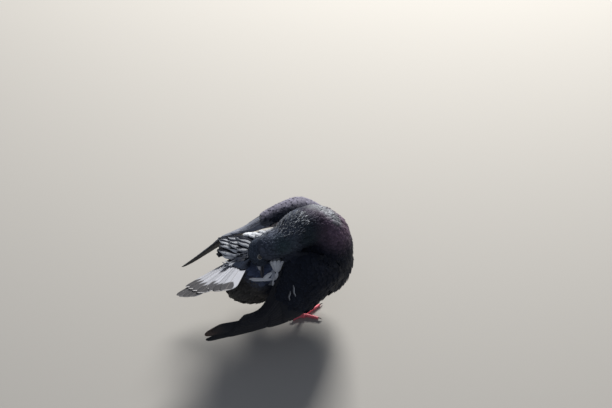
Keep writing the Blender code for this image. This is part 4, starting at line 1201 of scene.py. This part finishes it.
ruffle_finish = Shader("ruffled_feathers")
ruffle_barbs = ruffle_finish.node("Group", node_tree=barbs, inputs={"Fineness": 160.0})
ruffle_lens = ruffle_finish.reckon("MULTIPLY", ruffle_finish.mark("tip"), math.pi)
ruffle_lens = ruffle_finish.reckon("SINE", ruffle_lens)
ruffle_lens = ruffle_finish.reckon("MULTIPLY_ADD", ruffle_finish.noise(160.0), 0.35, ruffle_lens)
ruffle_lens = ruffle_finish.reckon("MULTIPLY_ADD", ruffle_lens, 0.55, ruffle_finish.mark("across"))
ruffle_edge = ruffle_finish.smooth(ruffle_lens, 0.84, 0.99, 0.0, 0.72)
all_white = ruffle_finish.node("MapRange", inputs={
    "Value": ruffle_finish.mark("white"), "From Min": 0.4, "From Max": 0.9}).outputs[0]
ruffle_edge = ruffle_finish.reckon("MAXIMUM", ruffle_edge, all_white)
ruffle_tint = ruffle_finish.mix(ruffle_edge, RUFFLE_DARK, RUFFLE_WHITE)
ruffle_tint = ruffle_finish.toned(ruffle_tint, ruffle_finish.mark("tone"))
ruffle_bump = ruffle_finish.bump(ruffle_barbs.outputs["Height"], 0.5, 0.0003)
ruffle_finish.set(Base_Color=ruffle_tint, Roughness=0.85, Normal=ruffle_bump, Specular_IOR_Level=0.1)
web_piece("ruffled_back", ruffled_feathers, ruffle_finish, {"white": ruffled_white},
          thick=RUFFLE_THICK)


# ------------------------------------------------------------------------------------------- eyes
# A dull orange-brown iris round a black pupil under a clear wet cornea, set in a puckered ring of bare
# grey skin.

EYE_RADIUS = 0.0052
EYE_DEEP = 0.0080                       # from the middle of the head to the middle of the eyeball
EYE_SIDES = 40
EYE_RINGS = 20
EYE_BEHIND = 1.9                        # radians from the middle of the pupil to where the ball ends inside
PUPIL_ANGLE = math.radians(19)
PUPIL_RINGS = 6
IRIS_ANGLE = math.radians(44)
CORNEA_BULGE = 0.00035
LID_RADIUS = 0.0036
LID_THICK = 0.00062
LID_FLAT = 0.9
LID_OUT = 0.0001
LID_LONG = 0.10                         # how much longer than high the ring is, as a share
LID_SIDES = 44
LID_PUCKERS = 22
PUCKER_DEPTH = 0.05
IRIS_DARK = (0.026, 0.018, 0.014, 1)
IRIS_LIGHT = (0.060, 0.043, 0.033, 1)
PUPIL_BLACK = (0.002, 0.002, 0.003, 1)
PUPIL_SOFT = (0.006, 0.005, 0.006, 1)
LID_PALE = (0.36, 0.38, 0.39, 1)
LID_GREY = (0.20, 0.22, 0.24, 1)

iris_finish = Shader("iris")
iris_place = iris_finish.node("TexCoord").outputs["Object"]
iris_flecks = iris_finish.node("TexNoise", inputs={
    "Vector": iris_place, "Scale": 1400.0, "Detail": 3.0}).outputs[0]
iris_tint = iris_finish.mix(iris_flecks, IRIS_DARK, IRIS_LIGHT)
iris_finish.set(Base_Color=iris_tint, Roughness=0.25, Coat_Weight=1.0, Coat_Roughness=0.03)
pupil_finish = Shader("pupil")
pupil_tint = pupil_finish.mix(pupil_finish.noise(300.0), PUPIL_BLACK, PUPIL_SOFT)
pupil_finish.set(Base_Color=pupil_tint, Roughness=0.15, Coat_Weight=1.0, Coat_Roughness=0.03)
lid_finish = Shader("bare_eye_ring")
lid_grain = lid_finish.node("TexVoronoi", inputs={"Scale": 2600.0}).outputs["Distance"]
lid_finish.set(Base_Color=lid_finish.mix(lid_grain, LID_PALE, LID_GREY), Roughness=0.6,
               Normal=lid_finish.bump(lid_grain, 0.5, 0.0002))


def ring_quads(rings, sides):
    """The quads between closed rings of points."""
    cell = np.arange(rings * sides).reshape(rings, sides)
    after = np.roll(cell, -1, axis=1)
    return np.stack([cell[:-1], cell[1:], after[1:], after[:-1]], axis=-1).reshape(-1, 4)


def turned(profile, axis, hint, centre, steps):
    """Points and quads of a profile of (radius, height) turned about an axis."""
    first = unit(hint - axis * (hint @ axis))
    second = np.cross(axis, first)
    angle = np.linspace(0, 2 * math.pi, steps, endpoint=False)
    ring = first * np.cos(angle)[:, None] + second * np.sin(angle)[:, None]
    profile = np.asarray(profile, float)
    points = centre + ring[None] * profile[:, :1, None] + axis * profile[:, 1][:, None, None]
    return points.reshape(-1, 3), ring_quads(len(profile), steps)[:, [0, 3, 2, 1]]


for side, sign in (("left", 1), ("right", -1)):
    axis = CHEEK_WAY * sign
    centre = HEAD_CENTRE + BILL_WAY * EYE_FORWARD + CROWN_WAY * EYE_CROWN + axis * EYE_DEEP
    polar = np.concatenate([[0.001], np.linspace(0.06, PUPIL_ANGLE, PUPIL_RINGS),
                            np.linspace(PUPIL_ANGLE + 0.04, EYE_BEHIND, EYE_RINGS)])
    bulge = CORNEA_BULGE * np.exp(-(polar / IRIS_ANGLE) ** 4)
    profile = np.stack([np.sin(polar) * EYE_RADIUS, np.cos(polar) * EYE_RADIUS + bulge], axis=1)
    points, faces = turned(profile, axis, BILL_WAY, centre, EYE_SIDES)
    eye = new_mesh_object("eyeball_" + side, points, faces)
    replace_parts(dress(eye, pupil_finish), "eye_" + side)
    eye.data.materials.append(iris_finish.material)
    rings = np.repeat(np.arange(len(profile) - 1), EYE_SIDES)
    eye.data.polygons.foreach_set("material_index", (rings >= PUPIL_RINGS).astype(np.int32))
    tube = np.linspace(0, 2 * math.pi, 13)
    seat = math.sqrt(EYE_RADIUS ** 2 - LID_RADIUS ** 2)
    profile = np.stack([LID_RADIUS + LID_THICK * LID_FLAT * np.cos(tube),
                        seat + LID_OUT + LID_THICK * np.sin(tube)], axis=1)
    points, faces = turned(profile, axis, BILL_WAY, centre, LID_SIDES)
    stretch = (points - centre) @ BILL_WAY
    points = points + BILL_WAY * (LID_LONG * stretch)[:, None]
    pucker = 1 + PUCKER_DEPTH * np.sin(LID_PUCKERS * np.arctan2((points - centre) @ CROWN_WAY, stretch))
    outward = axis * ((points - centre) @ axis)[:, None]
    points = centre + outward + (points - centre - outward) * pucker[:, None]
    dress(new_mesh_object("eye_ring_" + side, points, faces), lid_finish)


# ------------------------------------------------------------------------------------- bill and cere
# A slender dark horn bill, the upper half hooked a little over the lower, with a swollen chalk-white
# cere at its root.

BILL_SIDES = 24
BILL_ROUNDED = 0.06                     # share of its length over which each part is rounded off at an end
CERE_RIPPLES = 60                       # radians of wave along the cere
HORN_DARK = (0.028, 0.033, 0.046, 1)
HORN_LIGHT = (0.058, 0.066, 0.088, 1)
# The cere is chalk-white; its bluish grey is painted shade under a blue sky.
CERE_PAINTED_SKY_GREY = (0.36, 0.38, 0.43, 1)
CERE_PAINTED_SKY_WHITE = (0.52, 0.54, 0.60, 1)


def lofted(name, rows, finish, rings, ripple=0.0):
    """A smooth closed body in the head's own directions from (forward, crown, half width, rise, drop)."""
    share = np.linspace(0, 1, rings)
    row = along(np.array(rows), share)
    forward, crown, width, rise, drop = row.T
    end = np.minimum(share, 1 - share)
    round_end = np.sqrt(np.clip(1 - (1 - np.clip(end / BILL_ROUNDED, 0, 1)) ** 2, 0.0004, 1))
    angle = np.linspace(0, 2 * math.pi, BILL_SIDES, endpoint=False)
    up = np.sin(angle)
    reach_up = np.where(up > 0, rise[:, None], drop[:, None]) * up[None, :]
    centre = HEAD_CENTRE + BILL_WAY * forward[:, None] + CROWN_WAY * crown[:, None]
    swell = (round_end * (1 + ripple * np.sin(share * CERE_RIPPLES)))[:, None, None]
    points = (centre[:, None, :] + CHEEK_WAY * (width[:, None] * np.cos(angle)[None, :])[..., None] * swell
              + CROWN_WAY * reach_up[..., None] * swell)
    made = new_mesh_object(name, points.reshape(-1, 3), ring_quads(rings, BILL_SIDES))
    return dress(made, finish)


horn_finish = Shader("bill_horn")
horn_streak = horn_finish.noise(500.0, 4.0)
horn_finish.set(Base_Color=horn_finish.mix(horn_streak, HORN_DARK, HORN_LIGHT), Roughness=0.38,
                Normal=horn_finish.bump(horn_streak, 0.25, 0.0002))
cere_finish = Shader("chalky_cere_painted_sky_tint")
cere_grain = cere_finish.noise(1200.0, 4.0)
cere_finish.set(Base_Color=cere_finish.mix(cere_grain, CERE_PAINTED_SKY_GREY, CERE_PAINTED_SKY_WHITE), Roughness=0.9,
                Normal=cere_finish.bump(cere_grain, 0.6, 0.0002))
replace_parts(lofted("upper_bill", [
    (0.0180, -0.0010, 0.0036, 0.0027, 0.0014), (0.0270, -0.0016, 0.0029, 0.0023, 0.0012),
    (0.0345, -0.0021, 0.0021, 0.0019, 0.0011), (0.0395, -0.0028, 0.0016, 0.0017, 0.0012),
    (0.0425, -0.0041, 0.0009, 0.0012, 0.0010)], horn_finish, 30), "bill_upper")
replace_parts(lofted("lower_bill", [
    (0.0175, -0.0044, 0.0032, 0.0014, 0.0016), (0.0270, -0.0044, 0.0025, 0.0011, 0.0014),
    (0.0345, -0.0045, 0.0017, 0.0009, 0.0011), (0.0388, -0.0049, 0.0009, 0.0005, 0.0007)],
    horn_finish, 26), "bill_lower")
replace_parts(lofted("swollen_cere", [
    (0.0200, 0.0014, 0.0032, 0.0022, 0.0030), (0.0240, 0.0014, 0.0040, 0.0028, 0.0024),
    (0.0275, 0.0008, 0.0033, 0.0021, 0.0018), (0.0305, -0.0002, 0.0012, 0.0010, 0.0008)],
    cere_finish, 24, ripple=0.02), "cere")


# ------------------------------------------------------------------------------------ legs and feet
# Bare red legs. The shank and toes are wrapped in rows of overlapping scales, with soft pads under the
# joints and a short dark claw on each toe.

FEET = {"right": np.array((0.0138, -0.0300, 0)), "left": np.array((-0.0138, 0.0225, 0))}
FOOT_TURN = {"right": math.radians(22), "left": math.radians(20)}
HOCK = {"right": np.array((-0.0100, -0.0310, 0.0310)), "left": np.array((-0.0370, 0.0240, 0.0330))}
THIGH_TOP = {"right": np.array((0.0080, -0.0270, 0.0700)), "left": np.array((-0.0170, 0.0260, 0.0720))}
SHANK_RADIUS = 0.0026
SHANK_FOOT = 0.0060
SHANK_RINGS = 150
PAD_RINGS = 40
PAD_RADIUS = 0.0052
TOES = {                                # turn from the foot's heading, length, radius at root and tip, joints
    "middle": (math.radians(6), 0.0290, 0.0029, 0.0020, 3),
    "inner": (math.radians(44), 0.0215, 0.0027, 0.0019, 2),
    "outer": (math.radians(-46), 0.0220, 0.0026, 0.0019, 3),
    "hind": (math.radians(180), 0.0165, 0.0026, 0.0018, 1),
}
KNUCKLE = 0.10
KNUCKLE_ENDS = 14                       # how soon a limb reaches its full girth from each end
SCALE_PITCH = 0.0015
SCALE_STEP = 0.00022
GRANULES = 0.00018                      # height of the small bumps on the pads
GRANULES_ROUND = 9                      # how many bumps go round a limb, and radians of wave along it
GRANULES_ALONG = 90
LEG_RED = (0.80, 0.075, 0.125, 1)
LEG_PINK = (0.98, 0.270, 0.330, 1)
LEG_GROOVE = (0.46, 0.035, 0.060, 1)
CLAW_DARK = (0.016, 0.013, 0.013, 1)
CLAW_LIGHT = (0.07, 0.055, 0.05, 1)
TOE_STEPS = 4200                        # rings to the metre
TOE_PLACES = (0, 0.33, 0.66, 1.03)      # shares of its length that a toe's path runs through
TOE_SEAT = 0.93                         # height of its path over the floor, as a share of its radius
CLAW_LINE = ((0, 1.25), (0.0028, 1.50), (0.0055, 1.10), (0.0074, 0.40))     # way ahead, height in toe radii
CLAW_STOPS = 16
CLAW_SIDES = 12


def scaled_limb(path, radius, knuckles, steps, sides=18, floor_at=None):
    """Points and quads of a limb along a path with a scale ridge every SCALE_PITCH on its upper side."""
    share = np.linspace(0, 1, steps)
    centre = along(path, share)
    run = unit(np.gradient(centre, axis=0))
    long = np.linalg.norm(np.diff(centre, axis=0), axis=1).sum()
    size = radius[0] + (radius[1] - radius[0]) * share
    size = size * (1 + KNUCKLE * np.cos(2 * math.pi * knuckles * share)) if knuckles else size
    near_end = np.clip(np.minimum(share, 1 - share) * KNUCKLE_ENDS, 0, 1)
    size = size * np.sqrt(np.clip(1 - (1 - near_end) ** 2, 0.01, 1))
    hint = np.array((0, 0, 1.0)) if abs(run[0, 2]) < 0.8 else np.array((1.0, 0, 0))
    side = unit(np.cross(run, hint))
    top = np.cross(side, run)
    angle = np.linspace(0, 2 * math.pi, sides, endpoint=False)
    phase = (share * long / SCALE_PITCH) % 1.0
    ridge = SCALE_STEP * (1 - phase)[:, None] * np.clip(np.sin(angle) + 0.5, 0, 1)[None, :]
    ridge = ridge - SCALE_STEP * 0.9 * np.exp(-((phase[:, None] - 0.02) / 0.10) ** 2)
    underside = np.clip(-np.sin(angle), 0, 1)
    lumps = np.sin(angle * GRANULES_ROUND) * underside
    pads = GRANULES * lumps[None, :] * np.sin(share * GRANULES_ALONG)[:, None]
    reach_out = size[:, None] + ridge + pads
    points = (centre[:, None, :] + side[:, None, :] * (reach_out * np.cos(angle))[..., None]
              + top[:, None, :] * (reach_out * np.sin(angle))[..., None])
    if floor_at is not None:
        points[..., 2] = np.maximum(points[..., 2], floor_at)
    return points.reshape(-1, 3), ring_quads(steps, sides), np.repeat(phase, sides)


leg_finish = Shader("scaly_red_skin")
leg_tint = leg_finish.mix(leg_finish.noise(420.0, 4.0), LEG_RED, LEG_PINK)
leg_groove = leg_finish.node("MapRange", inputs={
    "Value": leg_finish.mark("phase"), "From Min": 0.86, "From Max": 1.0, "To Max": 0.75}).outputs[0]
leg_cells = leg_finish.node("TexVoronoi", inputs={"Scale": 1500.0}).outputs["Distance"]
leg_finish.set(Base_Color=leg_finish.mix(leg_groove, leg_tint, LEG_GROOVE), Roughness=0.45,
               Normal=leg_finish.bump(leg_cells, 0.3, 0.0002))
claw_finish = Shader("claw_horn")
claw_tint = claw_finish.mix(claw_finish.noise(700.0, 3.0), CLAW_DARK, CLAW_LIGHT)
claw_finish.set(Base_Color=claw_tint, Roughness=0.35)


def claw_shape(tip, way, thin):
    """Points of a short curved claw on the end of a toe, flat where it meets the floor."""
    curve = [tip + way * ahead + (0, 0, thin * up) for ahead, up in CLAW_LINE]
    stops = np.linspace(0, 1, CLAW_STOPS)
    line = along(curve, stops)
    run = unit(np.gradient(line, axis=0))
    side = unit(np.cross(run, (0, 0, 1.0)))
    top = np.cross(side, run)
    angle = np.linspace(0, 2 * math.pi, CLAW_SIDES, endpoint=False)
    girth = (thin * 0.72 * (1 - stops ** 1.4) + 0.00012)[:, None]
    points = (line[:, None, :] + side[:, None, :] * (0.7 * girth * np.cos(angle))[..., None]
              + top[:, None, :] * (girth * np.sin(angle))[..., None])
    points[..., 2] = np.maximum(points[..., 2], 0.0)
    return points.reshape(-1, 3)


for side, foot in FEET.items():
    limbs = []
    hock = HOCK[side]
    heel = foot + (0, 0, SHANK_FOOT * 0.55)
    bend = (hock + heel) / 2 + (0.0008, 0, 0)
    shank_path = [hock + (THIGH_TOP[side] - hock) * 0.10, hock, bend, heel]
    limbs.append(scaled_limb(shank_path, (SHANK_RADIUS * 1.16, SHANK_RADIUS * 1.0), 0, SHANK_RINGS))
    pad_path = [foot + (0, 0, height) for height in (0.0052, 0.0036, 0.0016, -0.0012)]
    limbs.append(scaled_limb(pad_path, (PAD_RADIUS * 0.80, PAD_RADIUS * 1.0), 0, PAD_RINGS, floor_at=0.0))
    outward = -1 if side == "right" else 1
    for toe, (turn, length, thick, thin, joints) in TOES.items():
        angle = FOOT_TURN[side] - outward * turn
        way = np.array((math.cos(angle), math.sin(angle), 0))
        start = foot + way * (PAD_RADIUS * 0.20)
        path = [start + way * length * s + (0, 0, (thick + (thin - thick) * s) * TOE_SEAT)
                for s in TOE_PLACES]
        limbs.append(scaled_limb(path, (thick, thin), joints, int(length * TOE_STEPS), floor_at=0.0))
        claw_points = claw_shape(start + way * (length - 0.0010), way, thin)
        claw = new_mesh_object(f"{toe}_claw_{side}", claw_points, ring_quads(CLAW_STOPS, CLAW_SIDES))
        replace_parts(dress(claw, claw_finish), f"claw_{toe}_{side}")
    leg_points, leg_faces, leg_phases = zip(*limbs)
    shifts = np.cumsum([0] + [len(points) for points in leg_points[:-1]])
    leg = new_mesh_object("leg_" + side, np.concatenate(leg_points),
                          np.concatenate([faces + shift for faces, shift in zip(leg_faces, shifts)]))
    give_marks(leg, {"phase": np.concatenate(leg_phases)})
    dress(leg, leg_finish)
    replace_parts(leg, "shank_" + side, "foot_" + side, *[f"toe_{toe}_{side}" for toe in TOES])
